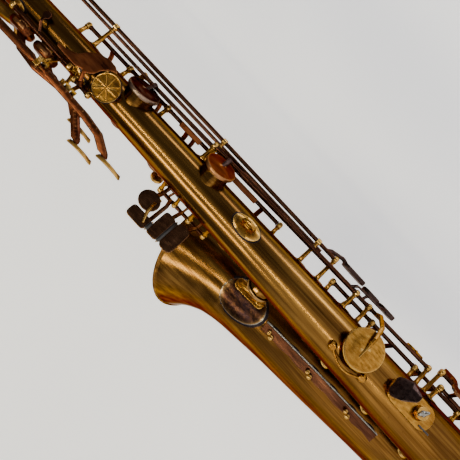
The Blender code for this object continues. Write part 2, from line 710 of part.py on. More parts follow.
def build_brace():
    """Shield plate on the bell's back and the bracket that ties it to the body."""
    z_mid, degrees, half = 0.3465, 24, 32
    steps = 8
    points_in, points_out = [], []
    bm = bmesh.new()
    rings = []
    for side_step in range(steps + 1):
        part = side_step / steps * 2 - 1
        angle = degrees + half * part
        tall = 0.033 * math.sqrt(max(0.05, 1 - (part * 0.93) ** 2))
        row = []
        for z in (z_mid - tall, z_mid, z_mid + tall * 0.92):
            centre, radius = bell_axis(z), bell_radius(z)
            for rho in (radius + 0.0012, radius + 0.0026):
                row.append(bm.verts.new(centre + facing(angle) * rho))
        rings.append(row)
    loop = (0, 2, 4, 5, 3, 1)
    for a, b in zip(rings, rings[1:]):
        for i, j in zip(loop, loop[1:] + loop[:1]):
            bm.faces.new((a[i], a[j], b[j], b[i]))
    for row, order in ((rings[0], loop), (rings[-1], loop[::-1])):
        bm.faces.new([row[i] for i in order])
    shield = from_bmesh("shield", bm)
    assemble("bell_brace_plate", BRASS, [shield])
    low, high = (bell_axis(z) + facing(10) * bell_radius(z) for z in (z_mid - 0.022, z_mid + 0.022))
    up = (high - low).normalized()
    out = (facing(10) - up * facing(10).dot(up)).normalized()
    foot_centre = (low + high) / 2 + out * 0.0056
    foot = plate(rounded(0.050, 0.016, 0.006), foot_centre, up, out, 0.0036)
    arch = [foot_centre + up * 0.019, foot_centre + up * 0.011 + out * 0.009, foot_centre + out * 0.012,
            foot_centre - up * 0.011 + out * 0.009, foot_centre - up * 0.019]
    bridge = tube(arch, [0.0028] * 5, 8)
    body_foot = polar(195, body_radius(z_mid) + 0.0006 + 0.0015, z_mid)
    pad = plate(rounded(0.034, 0.012, 0.005), body_foot, (0, 0, 1), facing(195), 0.0024)
    bar = tube([body_foot, polar(188, 0.050, z_mid), foot_centre + out * 0.011], [0.0036, 0.0032, 0.0036], 10)
    assemble("bell_brace", GOLD, [foot, bridge, pad, bar])


def build_strap_ring():
    z, angle = 0.418, -2
    out = facing(angle)
    rho = body_radius(z) + 0.0020
    base = plate(oval(0.038, 0.022, 20), polar(angle, rho, z), (0, 0, 1), out, 0.0024)
    eye = frustum(polar(angle, rho + 0.0075, z) - facing(angle + 90) * 0.002,
                  polar(angle, rho + 0.0075, z) + facing(angle + 90) * 0.002, 0.0105, 0.0105, 20)
    hole = frustum(polar(angle, rho + 0.0095, z) - facing(angle + 90) * 0.01,
                   polar(angle, rho + 0.0095, z) + facing(angle + 90) * 0.01, 0.0055, 0.0055, 16)
    assemble("strap_ring", GOLD, [base, eye], [hole, body_space(z - 0.03, z + 0.03)])


def body_space(low, high):
    """The room that the body tube takes between two heights, with a gap around it."""
    return tube([(0, 0, low), (0, 0, high)], [body_radius(low) + GAP, body_radius(high) + GAP], 48)


def build_thumb_rest():
    z, out = 0.6370, facing(20)
    inner = body_radius(z) + 0.0010
    level = Vector((0, 0, z))
    stem = frustum(out * (inner - 0.003) + level, out * 0.0275 + level, 0.0110, 0.0110, 16)
    disc = frustum(out * 0.0272 + level, out * 0.0310 + level, 0.0170, 0.0162, 24)
    assemble("thumb_rest", GOLD, [stem, disc], [body_space(z - 0.02, z + 0.02)])


def build_thumb_hook():
    """Slotted base plate, curved hook and the screw that holds it."""
    z, out = 0.152, facing(0)
    surface = body_radius(z)
    rho = surface + 0.0030
    base = plate(rounded(0.064, 0.030, 0.012, 4), polar(0, rho, z), (0, 0, 1), out, 0.0036)
    rise = polar(0, rho, 0.176)
    steps = ((0, 0, 0), (0, 0.0110, 0.0010), (-0.001, 0.0185, -0.0045), (-0.002, 0.0225, -0.0135))
    curve = [rise + Vector(step) for step in steps]
    hook = arm(curve, [0.022, 0.028, 0.027, 0.014], (0, 1, 1), 0.14, 10)
    screw_at = polar(0, surface, 0.139)
    hole = frustum(screw_at - out * 0.002, screw_at + out * 0.024, 0.0033, 0.0033, 12)
    assemble("thumb_hook", GOLD, [base, hook], [body_space(0.10, 0.20), hole])
    shank = frustum(screw_at + out * 0.0008, screw_at + out * 0.008, 0.0028, 0.0028, 10)
    head = frustum(screw_at + out * 0.0062, screw_at + out * 0.0120, 0.0085, 0.0075, 16)
    assemble("thumb_hook_screw", GOLD, [head, shank], hinge=(screw_at, out))


def build_guards():
    """Wire guard of the alternate F sharp cup, sheet guard over the bell cups, and the floor guard."""
    z = 0.233
    rho = body_radius(z) + 0.0022
    feet = []
    points = []
    for step in range(7):
        part = step / 6
        angle = 34 + 13 * math.sin(math.pi * part)
        lift = rho + 0.0045 * math.sin(math.pi * part) + 0.001
        points.append(polar(angle, lift, z + 0.024 - 0.048 * part))
    for place in (points[0], points[-1]):
        out = Vector((place.x, place.y, 0)).normalized()
        feet.append(frustum(place - out * 0.0025, place + out * 0.0025, 0.0062, 0.0042, 10))
    wire = tube(points, [0.0016] * 7, 8)
    assemble("trill_guard", GOLD, [feet[0], wire, feet[1]], [body_space(0.19, 0.28)])
    build_bell_rib()
    middle = Vector((0, -BOW_RADIUS, FLOOR + GUARD_THICK / 2))
    skid = plate(rounded(0.070, 0.026, 0.011, 4), middle, (0, 1, 0), (0, 0, 1), GUARD_THICK)
    assemble("bow_guard", GOLD, [skid])
    build_cup_guard()


def build_bell_rib():
    """Long flat rib on the back of the bell, with ball posts in pairs."""
    solids = []
    first, last, steps = 0.100, 0.300, 5
    points = []
    for step in range(steps + 1):
        z = first + (last - first) * step / steps
        points.append(bell_axis(z) + facing(27) * (bell_radius(z) + 0.0065))
    solids.append(arm(points, [0.018] * (steps + 1), facing(27), 0.12, 8))
    for z in (0.150, 0.250):
        foot = bell_axis(z) + facing(27) * (bell_radius(z) + 0.0008)
        solids.append(frustum(foot, foot + facing(27) * 0.0165, 0.0030, 0.0022, 6))
        solids.append(ball(foot + facing(27) * 0.0175, 0.0040, 8, 6))
    assemble("bell_key_rib", COPPER, solids)


def build_cup_guard():
    """Bar guard that stands over the low B and B flat cups."""
    solids = []
    out = facing(BELL_HOLE_ANGLE)
    across = facing(BELL_HOLE_ANGLE - 90)
    bar = []
    for z in (0.150, 0.236, 0.322):
        bar.append(bell_axis(z) + out * (bell_radius(z) + 0.030) + across * 0.012)
    solids.append(tube(bar, [0.0026] * 3, 8))
    for z, place in zip((0.138, 0.236, 0.334), (bar[0], bar[1], bar[2])):
        foot_out = (out * 0.80 + across * 0.60).normalized()
        foot = bell_axis(z) + foot_out * (bell_radius(z) + 0.0012)
        solids.append(frustum(foot, foot + foot_out * 0.0024, 0.0062, 0.0050, 10))
        leg = [foot + foot_out * 0.0020, foot + foot_out * 0.0050, place]
        solids.append(tube(leg, [0.0030, 0.0030, 0.0026], 8))
    assemble("bell_key_guard", GOLD, solids)


# ---------------------------------------------------------------- octave mechanism

def octave_lever_posts():
    low, high = octave_lever_line()
    return body_post(low, (high - low)) + body_post(high, (high - low))


def octave_lever_line():
    """The thumb lever pivots on a short pin along the body, left of the thumb rest."""
    return side(-0.0220, 0.0205, 0.6480), side(-0.0215, 0.0205, 0.6720)


def build_octave_lever():
    low, high = octave_lever_line()
    along = (high - low).normalized()
    clear = along * (HEAD_LONG / 2 + 0.0004)
    pivot = hinge_tube(low + clear, high - clear)
    w = 0.0300
    outline = [(0.711, -0.0060), (0.6990, -0.0045), (0.6865, 0.0010), (0.6790, 0.0115), (0.6700, 0.0190),
               (0.6570, 0.0230), (0.6470, 0.0225), (0.6400, 0.0180), (0.6485, 0.0142), (0.6545, 0.0068),
               (0.6580, -0.0020), (0.6630, -0.0060), (0.6700, -0.0070), (0.6800, -0.0105), (0.6950, -0.0105),
               (0.7080, -0.0100)]
    centre = side(0, w, 0)
    touch = plate([(z, -u) for z, u in outline], centre, (0, 0, 1), side(0, 1, 0), 0.0022)
    link = arm([(low + high) / 2, side(-0.016, 0.0285, 0.664), side(-0.006, w, 0.668)],
               [0.0050, 0.0065, 0.0060], side(0, 1, 0), 0.5)
    assemble("octave_lever", COPPER, [touch, link, pivot], hinge=((low + high) / 2, along))


def build_body_octave_key():
    pivot = frustum(OCTAVE.at(0.6875), OCTAVE.at(0.7755), 0.0030, 0.0030, 10)
    base, normal, rim, radius = hole_base("vent")
    pad = frustum(base + normal * (rim + GAP), base + normal * (rim + 0.0045), 0.0055, 0.0050, 12)
    top = base + normal * (rim + 0.0038)
    reach = arm([OCTAVE.at(0.735), base + normal * (rim + 0.0050) + side(-0.009, 0, 0), top],
                [0.0050, 0.0050, 0.0044], normal, 0.5)
    assemble("body_octave_key", DARK, [pivot, pad, reach], hinge=(OCTAVE.at(0.732), -OCTAVE.along))


def build_neck_octave_key():
    """Key over the neck's vent, with the ring that goes round the neck's foot."""
    low, high = neck_key_line()
    points, _ = neck_path()
    clear = Vector((HEAD_LONG / 2 + 0.0004, 0, 0))
    pivot = frustum(low + clear, high - clear, TUBE_R, TUBE_R, 8)
    middle = (low + high) / 2
    pad_foot = points[NECK_PIP] + PIP_DIRECTION * (PIP_RISE + GAP)
    pad = frustum(pad_foot, pad_foot + PIP_DIRECTION * 0.004, 0.0052, 0.0046, 12)
    reach = arm([middle, middle + Vector((0, 0.012, 0.010)), pad_foot + PIP_DIRECTION * 0.0036],
                [0.0050, 0.0060, 0.0046], (0, -0.4, 1), 0.5)
    foot_y, foot_z = points[1].y, RECEIVER_TOP + 0.014
    ring_r = 0.0195
    back = foot_y - ring_r
    path = [middle, middle + Vector((0, -0.018, -0.012)),
            (LOOP_SIDE, back - 0.003, 0.940), (LOOP_SIDE, back, foot_z)]
    down = arm(path, [0.0050, 0.0050, 0.0050, 0.0046], (0, 1, 0.5), 0.6)
    turns = [2 * math.pi * i / 16 for i in range(16)]
    loop = [Vector((LOOP_SIDE + ring_r * math.sin(t), foot_y - ring_r * math.cos(t), foot_z)) for t in turns]
    circle = tube(loop, [0.0017] * 16, 4, closed=True)
    assemble("neck_octave_key", GOLD, [pivot, pad, reach, down, circle], hinge=(middle, (1, 0, 0)))


# ---------------------------------------------------------------- palm keys

PALM_PIVOTS = ((0.685, -0.006), (0.667, 0.014), (0.703, 0.0355))
PALM_PIVOT_U = -0.0380
PALM_SPREAD = 0.0098
PALM_EAR = 0.0024


def palm_pivot(z, w):
    return side(PALM_PIVOT_U, w, z)


def palm_saddle(z, w):
    """A pillar with a forked head that holds the axle of a palm key."""
    foot = palm_pivot(0, w * 0.45).normalized() * (body_radius(z) - 0.004) + Vector((0, 0, z))
    bar = side(PALM_PIVOT_U + 0.0065, w, z)
    wide = 2 * PALM_SPREAD + PALM_EAR
    solids = [frustum(foot, bar, 0.0026, 0.0024, 5), box(bar, (0.0022, wide, 0.0060), side(1, 0, 0))]
    for end in (-1, 1):
        ear = side(PALM_PIVOT_U + 0.0022, w + end * PALM_SPREAD, z)
        solids.append(box(ear, (0.0112, PALM_EAR, 0.0060), side(1, 0, 0)))
    return solids


def build_palm_key(name, hole, pivot, path, paddle):
    """A rocking key: cup above the pivot, paddle below it. path runs from cup to paddle."""
    z, w = pivot
    middle = palm_pivot(z, w)
    half = side(0, PALM_SPREAD - PALM_EAR / 2 - 0.0004, 0)
    axle = frustum(middle - half, middle + half, TUBE_R, TUBE_R, 8)
    pu, pw, pz = paddle
    bar = arm([cup_top(hole, extra=-0.0012), *[side(*p) for p in path], side(pu + 0.002, pw, pz + 0.010)],
              [0.0060, *[0.0085] * len(path), 0.0075], side(1, 0, 0), 0.45)
    face = plate(oval(0.036, 0.022, 16), side(pu, pw, pz), (0, 0, 1), side(-1, 0.10, 0), 0.0028)
    assemble(name, COPPER, [axle, bar, face, body_cup(hole)], hinge=(middle, side(0, 1, 0)))


def build_palm_keys():
    build_palm_key("palm_D_key", "palm_D", PALM_PIVOTS[0],
                   [(-0.0395, -0.002, 0.705), (-0.0385, -0.006, 0.685), (-0.0420, -0.002, 0.662)],
                   (-0.0570, -0.006, 0.634))
    build_palm_key("palm_Eb_key", "palm_Eb", PALM_PIVOTS[1],
                   [(-0.0430, 0.006, 0.745), (-0.0450, 0.015, 0.715), (-0.0385, 0.014, 0.667),
                    (-0.0440, 0.015, 0.648)],
                   (-0.0710, 0.018, 0.6085))
    build_palm_key("palm_F_key", "palm_F", PALM_PIVOTS[2],
                   [(-0.0390, 0.014, 0.825), (-0.0400, 0.032, 0.795), (-0.0385, 0.0355, 0.703),
                    (-0.0400, 0.031, 0.630), (-0.0430, 0.030, 0.605)],
                   (-0.0580, 0.026, 0.572))


# ---------------------------------------------------------------- side keys

def side_touch(u, w, z, long):
    """A thick rounded finger touch that stands out to the player's right."""
    face = plate(rounded(long, 0.020, 0.006, 2), side(u, w, z), (0, 0, 1), side(1, 0, 0), 0.0055)
    return face


def build_side_keys():
    tube_e = SIDE_A.tube(0.318, 0.852)
    reach = arm([SIDE_A.at(0.838), side(0.046, 0.018, 0.838), side(0.024, 0.0285, 0.838), cup_top("high_E")],
                [0.0060, 0.0070, 0.0070, 0.0060], side(-0.5, 1, 0), 0.5)
    lead = arm([SIDE_A.at(0.334), side(0.0665, -0.016, 0.326), side(0.0705, -0.023, 0.310),
                side(0.0690, -0.026, 0.302)], [0.0070, 0.0090, 0.0110, 0.0110], side(1, 0, 0), 0.5)
    touch = side_touch(0.0680, -0.026, 0.2885, 0.036)
    assemble("high_E_key", DARK, [tube_e, reach, lead, touch, body_cup("high_E")],
             hinge=SIDE_A.hinge(0.318, 0.852))
    tube_c = SIDE_B.tube(0.249, 0.632)
    reach = arm([SIDE_B.at(0.611), side(0.0445, 0.000, 0.611), cup_top("side_C")],
                [0.0070, 0.0070, 0.0060], side(1, 0.4, 0), 0.5)
    lead = arm([SIDE_B.at(0.262), side(0.0600, -0.020, 0.259), side(0.0640, -0.027, 0.256)],
               [0.0060, 0.0070, 0.0080], (0, 0, 1), 0.6)
    touch = side_touch(0.0660, -0.030, 0.2545, 0.0255)
    assemble("side_C_key", COPPER, [tube_c, reach, lead, touch, body_cup("side_C")],
             hinge=SIDE_B.hinge(0.249, 0.632))
    tube_b = SIDE_D.tube(0.2745, 0.512)
    reach = arm([SIDE_D.at(0.487), side(0.0480, 0.012, 0.487), cup_top("side_Bb")],
                [0.0070, 0.0070, 0.0060], side(1, 0.6, 0), 0.5)
    lead = arm([SIDE_D.at(0.286), side(0.0590, 0.003, 0.280), side(0.0605, -0.004, 0.262),
                side(0.0615, -0.006, 0.243), side(0.0640, -0.014, 0.236), side(0.0650, -0.024, 0.230)],
               [0.0056, 0.0056, 0.0056, 0.0056, 0.0060, 0.0070], side(1, 0, 0), 0.6)
    touch = side_touch(0.0660, -0.029, 0.2275, 0.0255)
    assemble("side_Bb_key", COPPER, [tube_b, reach, lead, touch, body_cup("side_Bb")],
             hinge=SIDE_D.hinge(0.2745, 0.512))


def build_trill_key():
    pivot = SIDE_B.tube(0.148, 0.249)
    edge = side(0.0445, 0.033, 0.2345)
    ridge = arm([SIDE_B.at(0.2370), side(0.0540, 0.006, 0.2365), edge, side(0.0300, 0.0445, 0.2340),
                 cup_top("trill", extra=0.0010), side(-0.0010, 0.0470, 0.2300)],
                [0.0070, 0.0075, 0.0070, 0.0060, 0.0050, 0.0036], side(0.4, 1, 0), 0.55)
    touch_at = side(0.0600, -0.030, 0.168)
    touch = plate(rounded(0.026, 0.013, 0.005, 2), touch_at, (0, 0, 1), side(1, 0, 0), 0.0035)
    lead = arm([SIDE_B.at(0.168), side(0.0600, -0.026, 0.168)], [0.0060, 0.0070], (0, 0, 1), 0.6)
    assemble("trill_F_sharp_key", GOLD, [pivot, ridge, lead, touch, body_cup("trill")],
             hinge=SIDE_B.hinge(0.148, 0.249))


# ---------------------------------------------------------------- stacks

def pearl_touch(angle, rho, z):
    """A pearl holder: a shallow disc that faces out from the body."""
    return frustum(polar(angle, rho, z), polar(angle, rho + 0.0042, z), 0.0078, 0.0086, 10)


def build_stack_key(name, hole, low, high, pearl=None, lever=None):
    """A normally open stack key on the common stack hinge line."""
    base, normal, rim, _ = hole_base(hole)
    z = base.z
    top = rim + GAP + CUP_THICK
    solids = [STACK.tube(low, high)]
    over = around(STACK, z + 0.0006, LANDING, top + 0.0008, z + 0.0014, 4, 0.004)
    solids.append(arm(over, [0.0070, 0.0075, 0.0080, 0.0075, 0.0060], facing(215), 0.5))
    if pearl:
        angle, rho, pearl_z = pearl
        z_arm = min(max(pearl_z, low + 0.010), high - 0.010)
        path = around(STACK, z_arm, angle, rho, pearl_z, 5)
        solids.append(arm(path, [0.0060, 0.0065, 0.0065, 0.0065, 0.0060, 0.0056], facing(205), 0.6))
        solids.append(pearl_touch(angle, rho, pearl_z))
    if lever:
        bottom, upper = lever
        solids.append(box(STACK.at((bottom + upper) / 2) + side(-0.0008, 0.0025, 0),
                          (0.0074, 0.0020, upper - bottom), side(1, 0, 0), STACK.along))
    solids.append(body_cup(hole))
    assemble(name, COPPER, solids, hinge=STACK.hinge(low, high), rest=OPEN_ANGLE)


def build_stacks():
    build_stack_key("C_key", "C", 0.650, 0.722)
    build_stack_key("B_key", "B", 0.585, 0.650, (172, 0.0360, 0.5965))
    build_stack_key("A_key", "A", 0.505, 0.585, (155, 0.0430, 0.5375), (0.528, 0.562))
    build_stack_key("G_key", "G", 0.392, 0.505, (178, 0.0395, 0.4845), (0.432, 0.478))
    build_stack_key("F_sharp_key", "F_sharp", 0.232, 0.300)
    build_stack_key("F_key", "F", 0.158, 0.232, (158, 0.0445, 0.225))
    build_stack_key("E_key", "E", 0.084, 0.158, (156, 0.0460, 0.150))
    build_stack_key("D_key", "D", 0.014, 0.084, (154, 0.0475, 0.078))


# ---------------------------------------------------------------- little-finger keys

def table_plate(outline, x, y, z):
    return plate(outline, (x, y, z), (0, 0, 1), (0, 1, 0), 0.0030)


def build_g_sharp():
    pivot = G_SHARP.tube(0.330, 0.524)
    top = cup_top("G_sharp")
    reach = arm([G_SHARP.at(0.352), (G_SHARP.at(0.352) + top) / 2 + facing(145) * 0.003, top],
                [0.0065, 0.0065, 0.0056], facing(150), 0.55)
    x, y, z = 0.0475, -0.0260, 0.5180
    lead = arm([G_SHARP.at(0.5165), (0.026, -0.0450, 0.5170), (x - 0.006, y - 0.001, z)],
               [0.0060, 0.0065, 0.0080], (0.3, 1, 0), 0.6)
    touch = table_plate(oval(0.029, 0.026, 16), x, y, z)
    assemble("G_sharp_key", DARK, [pivot, reach, lead, touch, body_cup("G_sharp")],
             hinge=G_SHARP.hinge(0.330, 0.524, -1))


def build_table_lever(name, low, high, outline, place, lead, foot_z):
    """A touch of the left little-finger table and the lever foot behind it.

    lead is the height at which the touch's arm starts, and the height at which it ends.
    """
    x, y, z = place
    middle = (low + high) / 2
    bend = (0.031, -0.0480, (lead[0] + 3 * lead[1]) / 4)
    reach = arm([TABLE.at(lead[0]), bend, (x - 0.004, y - 0.0012, lead[1])],
                [0.0060, 0.0062, 0.0066], (0.3, 1, 0), 0.6)
    foot = arm([TABLE.at(middle), (0.008, -0.0680, foot_z), (0.002, -0.0715, foot_z)],
               [0.0056, 0.0056, 0.0050], (0, 0, 1), 0.7)
    touch = table_plate(outline, x, y, z)
    assemble(name, DARK, [TABLE.tube(low, high), reach, foot, touch], hinge=TABLE.hinge(low, high, -1))


def build_table_levers():
    build_table_lever("low_C_sharp_lever", 0.498, 0.5245, rounded(0.030, 0.0165, 0.0050),
                      (0.0700, -0.0260, 0.5120), (0.5060, 0.5005), 0.5110)
    build_table_lever("low_B_lever", 0.4715, 0.498, rounded(0.0165, 0.036, 0.0040),
                      (0.0580, -0.0260, 0.4865), (0.4848, 0.4860), 0.4850)
    build_table_lever("low_Bb_lever", 0.445, 0.4715, rounded(0.0200, 0.040, 0.0075),
                      (0.0560, -0.0260, 0.4650), (0.4583, 0.4640), 0.4580)


def build_bell_key(name, low, high, turn, rest=0.0):
    """A cup key on the bell, on its own part of the bell's hinge line."""
    z, radius = BELL_HOLES[name]
    base, normal = bell_axis(z), facing(BELL_HOLE_ANGLE)
    rim = bell_radius(z) + BIG_RISE
    top = base + normal * (rim + GAP + CUP_THICK + 0.0008)
    edge = base + facing(BELL_HOLE_ANGLE + 38) * (rim + 0.0160)
    reach = arm([BELL_KEYS.at(z), edge, top], [0.0070, 0.0080, 0.0065], facing(BELL_HOLE_ANGLE + 30), 0.5)
    solids = [BELL_KEYS.tube(low, high), reach, cup(base, normal, rim + GAP, radius + CUP_RIM)]
    assemble(name + "_key", COPPER, solids, hinge=BELL_KEYS.hinge(low, high, turn), rest=rest)


def build_bell_keys():
    build_bell_key("low_C_sharp", 0.070, 0.140, -1)
    build_bell_key("low_B", 0.140, 0.240, 1, OPEN_ANGLE)
    build_bell_key("low_Bb", 0.240, 0.335, 1, OPEN_ANGLE)


def build_bow_key(name, line, ends, path, touch_at, turn, rest=0.0):
    """A little-finger key with its cup on the bow. path runs from the hinge line to the cup."""
    degrees, radius = BOW_HOLES[name]
    base, normal = bow_centre(degrees), Vector((-1, 0, 0))
    rim = bow_radius(degrees) + BIG_RISE
    top = base + normal * (rim + GAP + CUP_THICK + 0.0008)
    reach = arm([*path, top], [0.0066, *[0.0080] * (len(path) - 1), 0.0065], normal, 0.5)
    z = touch_at[2]
    lead = arm([line.at(z), touch_at], [0.0065, 0.0090], (0, 0, 1), 0.6)
    touch = plate(rounded(0.024, 0.018, 0.006, 2), touch_at, (0, 0, 1), facing(-50), 0.0034)
    solids = [line.tube(*ends), reach, lead, touch, cup(base, normal, rim + GAP, radius + CUP_RIM)]
    assemble(name + "_key", DARK, solids, hinge=line.hinge(*ends, turn), rest=rest)


def build_bow_keys():
    build_bow_key("low_Eb", LOW_EB, (LOW_EB_END, 0.131), [LOW_EB.at(-0.030), (-0.0500, 0.0100, -0.040)],
                  (-0.0500, 0.0390, 0.118), -1)
    path = [LOW_C.at(0.031), (-0.0710, 0.0070, 0.016), (-0.0680, -0.0200, -0.030), (-0.0620, -0.0750, -0.066)]
    build_bow_key("low_C", LOW_C, (0.016, 0.138), path, (-0.0765, -0.0120, 0.112), 1, LOW_C_OPEN)


def build_water_key():
    along = Vector((HEAD_LONG / 2 + 0.0004, 0, 0))
    pivot = frustum(WATER_LINE.low + along, WATER_LINE.high - along, TUBE_R, TUBE_R, 8)
    middle = WATER_LINE.at(0)
    lever = arm([middle, middle + Vector((0, -0.006, 0.012)), middle + Vector((0, -0.005, 0.030))],
                [0.0050, 0.0056, 0.0080], (0, 1, 0), 0.5)
    assemble("water_key", GOLD, [pivot, lever], hinge=(middle, (1, 0, 0)))


clear_scene()
PART = new_collection("baritone_saxophone")
FLOOR = -BOW_STRAIGHT - BOW_RADIUS - bow_radius(90) - GUARD_THICK - GUARD_GAP
BODY_AXIS = bpy.data.objects.new("body_axis", None)
BODY_AXIS.location = (0, BOW_RADIUS, -FLOOR)
PART.objects.link(BODY_AXIS)
WORKSHOP = new_collection("cutters")
WORKSHOP.hide_render = True

build_body()
build_bottom_bow()
build_bell()
build_upper_bow()
build_ferrules()
build_neck_receiver()
build_neck()
build_brace()
build_strap_ring()
build_thumb_rest()
build_thumb_hook()
build_guards()
build_octave_lever()
build_body_octave_key()
build_neck_octave_key()
build_palm_keys()
build_side_keys()
build_trill_key()
build_stacks()
build_g_sharp()
build_table_levers()
build_bell_keys()
build_bow_keys()
build_water_key()
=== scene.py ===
"""Looks of the baritone saxophone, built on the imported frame."""

import json
import math

import bmesh
import bpy
import numpy as np
from mathutils import Matrix, Vector
from mathutils.bvhtree import BVHTree

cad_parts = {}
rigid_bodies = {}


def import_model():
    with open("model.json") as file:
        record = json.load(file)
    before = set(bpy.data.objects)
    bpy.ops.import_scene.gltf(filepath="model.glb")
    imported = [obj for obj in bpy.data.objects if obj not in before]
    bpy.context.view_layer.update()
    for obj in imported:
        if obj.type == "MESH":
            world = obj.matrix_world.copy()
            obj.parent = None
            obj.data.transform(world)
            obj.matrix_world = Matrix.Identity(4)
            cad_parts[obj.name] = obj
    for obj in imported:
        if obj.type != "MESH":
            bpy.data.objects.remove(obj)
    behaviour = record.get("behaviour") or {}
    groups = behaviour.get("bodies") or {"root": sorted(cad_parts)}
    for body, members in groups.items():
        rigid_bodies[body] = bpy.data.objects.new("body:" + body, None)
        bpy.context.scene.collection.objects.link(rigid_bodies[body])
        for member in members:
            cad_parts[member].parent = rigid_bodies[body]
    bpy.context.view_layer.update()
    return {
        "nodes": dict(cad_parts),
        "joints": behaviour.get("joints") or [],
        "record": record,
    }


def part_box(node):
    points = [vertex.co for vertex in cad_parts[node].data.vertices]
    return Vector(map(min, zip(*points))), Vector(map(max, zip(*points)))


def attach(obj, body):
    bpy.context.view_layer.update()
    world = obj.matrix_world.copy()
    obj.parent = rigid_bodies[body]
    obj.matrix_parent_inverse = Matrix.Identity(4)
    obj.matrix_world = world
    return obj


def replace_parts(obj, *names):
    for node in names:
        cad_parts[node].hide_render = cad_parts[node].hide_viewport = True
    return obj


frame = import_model()
NODES = frame["nodes"]
BEHAVIOUR = frame["record"]["behaviour"]
BODY_OF = {node: body for body, nodes in BEHAVIOUR["bodies"].items() for node in nodes}
JOINT = {BEHAVIOUR["bodies"][j["child"]][0]: j for j in frame["joints"]}
SLOT_OF = {s["node"]: s["material_slot"] for s in frame["record"]["subparts"]}
ROOT = BODY_OF["body_tube"]

WALL = 0.0012
HEAD_LONG = 0.0060
ROD_R = 0.0026
PEARL_R = 0.0086
CAST_GRAIN = 0.0006
CAMERA_TURN = math.radians(18)
UP = Vector((0, 0, 1))
TOWARDS_PLAYER = Vector((math.sin(CAMERA_TURN), math.cos(CAMERA_TURN), 0))
PLAYER_RIGHT = Vector((-math.cos(CAMERA_TURN), math.sin(CAMERA_TURN), 0))
STACK_KEYS = ("C_key", "B_key", "A_key", "G_key", "F_sharp_key", "F_key", "E_key", "D_key")
OPEN_KEYS = [node for node in NODES if node in STACK_KEYS + ("low_B_key", "low_Bb_key", "low_C_key")]
PALMS = ("palm_D_key", "palm_Eb_key", "palm_F_key")
CUP_KEYS = [*OPEN_KEYS, *PALMS, "high_E_key", "side_C_key", "side_Bb_key", "trill_F_sharp_key", "G_sharp_key",
            "low_C_sharp_key", "low_Eb_key"]


# ---------------------------------------------------------------- reading the frame

def arrays(node):
    mesh = NODES[node].data
    co = np.empty(len(mesh.vertices) * 3, np.float32)
    mesh.vertices.foreach_get("co", co)
    mesh.calc_loop_triangles()
    tris = np.empty(len(mesh.loop_triangles) * 3, np.int32)
    mesh.loop_triangles.foreach_get("vertices", tris)
    return co.reshape(-1, 3).astype(float), tris.reshape(-1, 3)


def tree_of(node):
    co, tris = arrays(node)
    return BVHTree.FromPolygons([Vector(p) for p in co], [tuple(int(i) for i in t) for t in tris])


def discs(node, roundness=0.9):
    """Flat round faces of a node: (centre, outward normal, radius), the largest first."""
    co, tris = arrays(node)
    a, b, c = co[tris[:, 0]], co[tris[:, 1]], co[tris[:, 2]]
    normal = np.cross(b - a, c - a)
    area = np.linalg.norm(normal, axis=1) / 2
    keep = area > 1e-10
    a, b, c, normal, area, tris = a[keep], b[keep], c[keep], normal[keep], area[keep], tris[keep]
    normal /= 2 * area[:, None]
    offset = (normal * a).sum(1)
    free = np.ones(len(area), bool)
    found = []
    for i in np.argsort(-area):
        if not free[i]:
            continue
        same = free & (normal @ normal[i] > 0.9995) & (abs(offset - offset[i]) < 0.00004)
        free &= ~same
        total = area[same].sum()
        centre = ((a + b + c)[same] / 3 * area[same][:, None]).sum(0) / total
        radius = np.linalg.norm(co[np.unique(tris[same])] - centre, axis=1).max()
        if radius > 0.004 and total / (math.pi * radius ** 2) > roundness:
            found.append((Vector(centre), Vector(normal[i]), float(radius)))
    return sorted(found, key=lambda d: -d[2])


def hinge_of(node):
    joint = JOINT[node]
    return Vector(joint["pos_m"]), Vector(joint["axis"]).normalized()


def rod_ends(node):
    """Both ends of a key's hinge tube, on the joint's axis."""
    point, axis = hinge_of(node)
    d = arrays(node)[0] - np.array(point)
    along = d @ np.array(axis)
    off = np.linalg.norm(d - along[:, None] * np.array(axis), axis=1)
    near = along[off < 0.0032]
    return point + axis * float(near.min()), point + axis * float(near.max())


def closed_turn(node):
    """The turn that closes an open key."""
    joint = JOINT[node]
    turn = math.radians(joint["range_deg"][1]) if node in OPEN_KEYS else 0.0
    place = Matrix.Translation(joint["pos_m"])
    return place @ Matrix.Rotation(turn, 4, Vector(joint["axis"])) @ place.inverted()


class Shell:
    """A round tube of the instrument: centres and outer radii along its path."""

    def __init__(self, centres, radii, body):
        self.centres, self.radii, self.body = [Vector(c) for c in centres], list(radii), body
        self.table = np.array([list(c) for c in self.centres])

    def nearest(self, point):
        gaps = np.linalg.norm(self.table - np.array(point), axis=1) - np.array(self.radii)
        i = int(gaps.argmin())
        return float(gaps[i]), i

    def at(self, point):
        """Centre, radius and direction of the tube at the section nearest to a point."""
        i = self.nearest(point)[1]
        i0, i1 = max(0, i - 1), min(len(self.centres) - 1, i + 1)
        along = (self.centres[i1] - self.centres[i0]).normalized()
        shift = (Vector(point) - self.centres[i]).dot(along)
        span = (self.centres[i1] - self.centres[i0]).length
        radius = self.radii[i] + (self.radii[i1] - self.radii[i0]) * shift / span
        return self.centres[i] + along * shift, radius, along


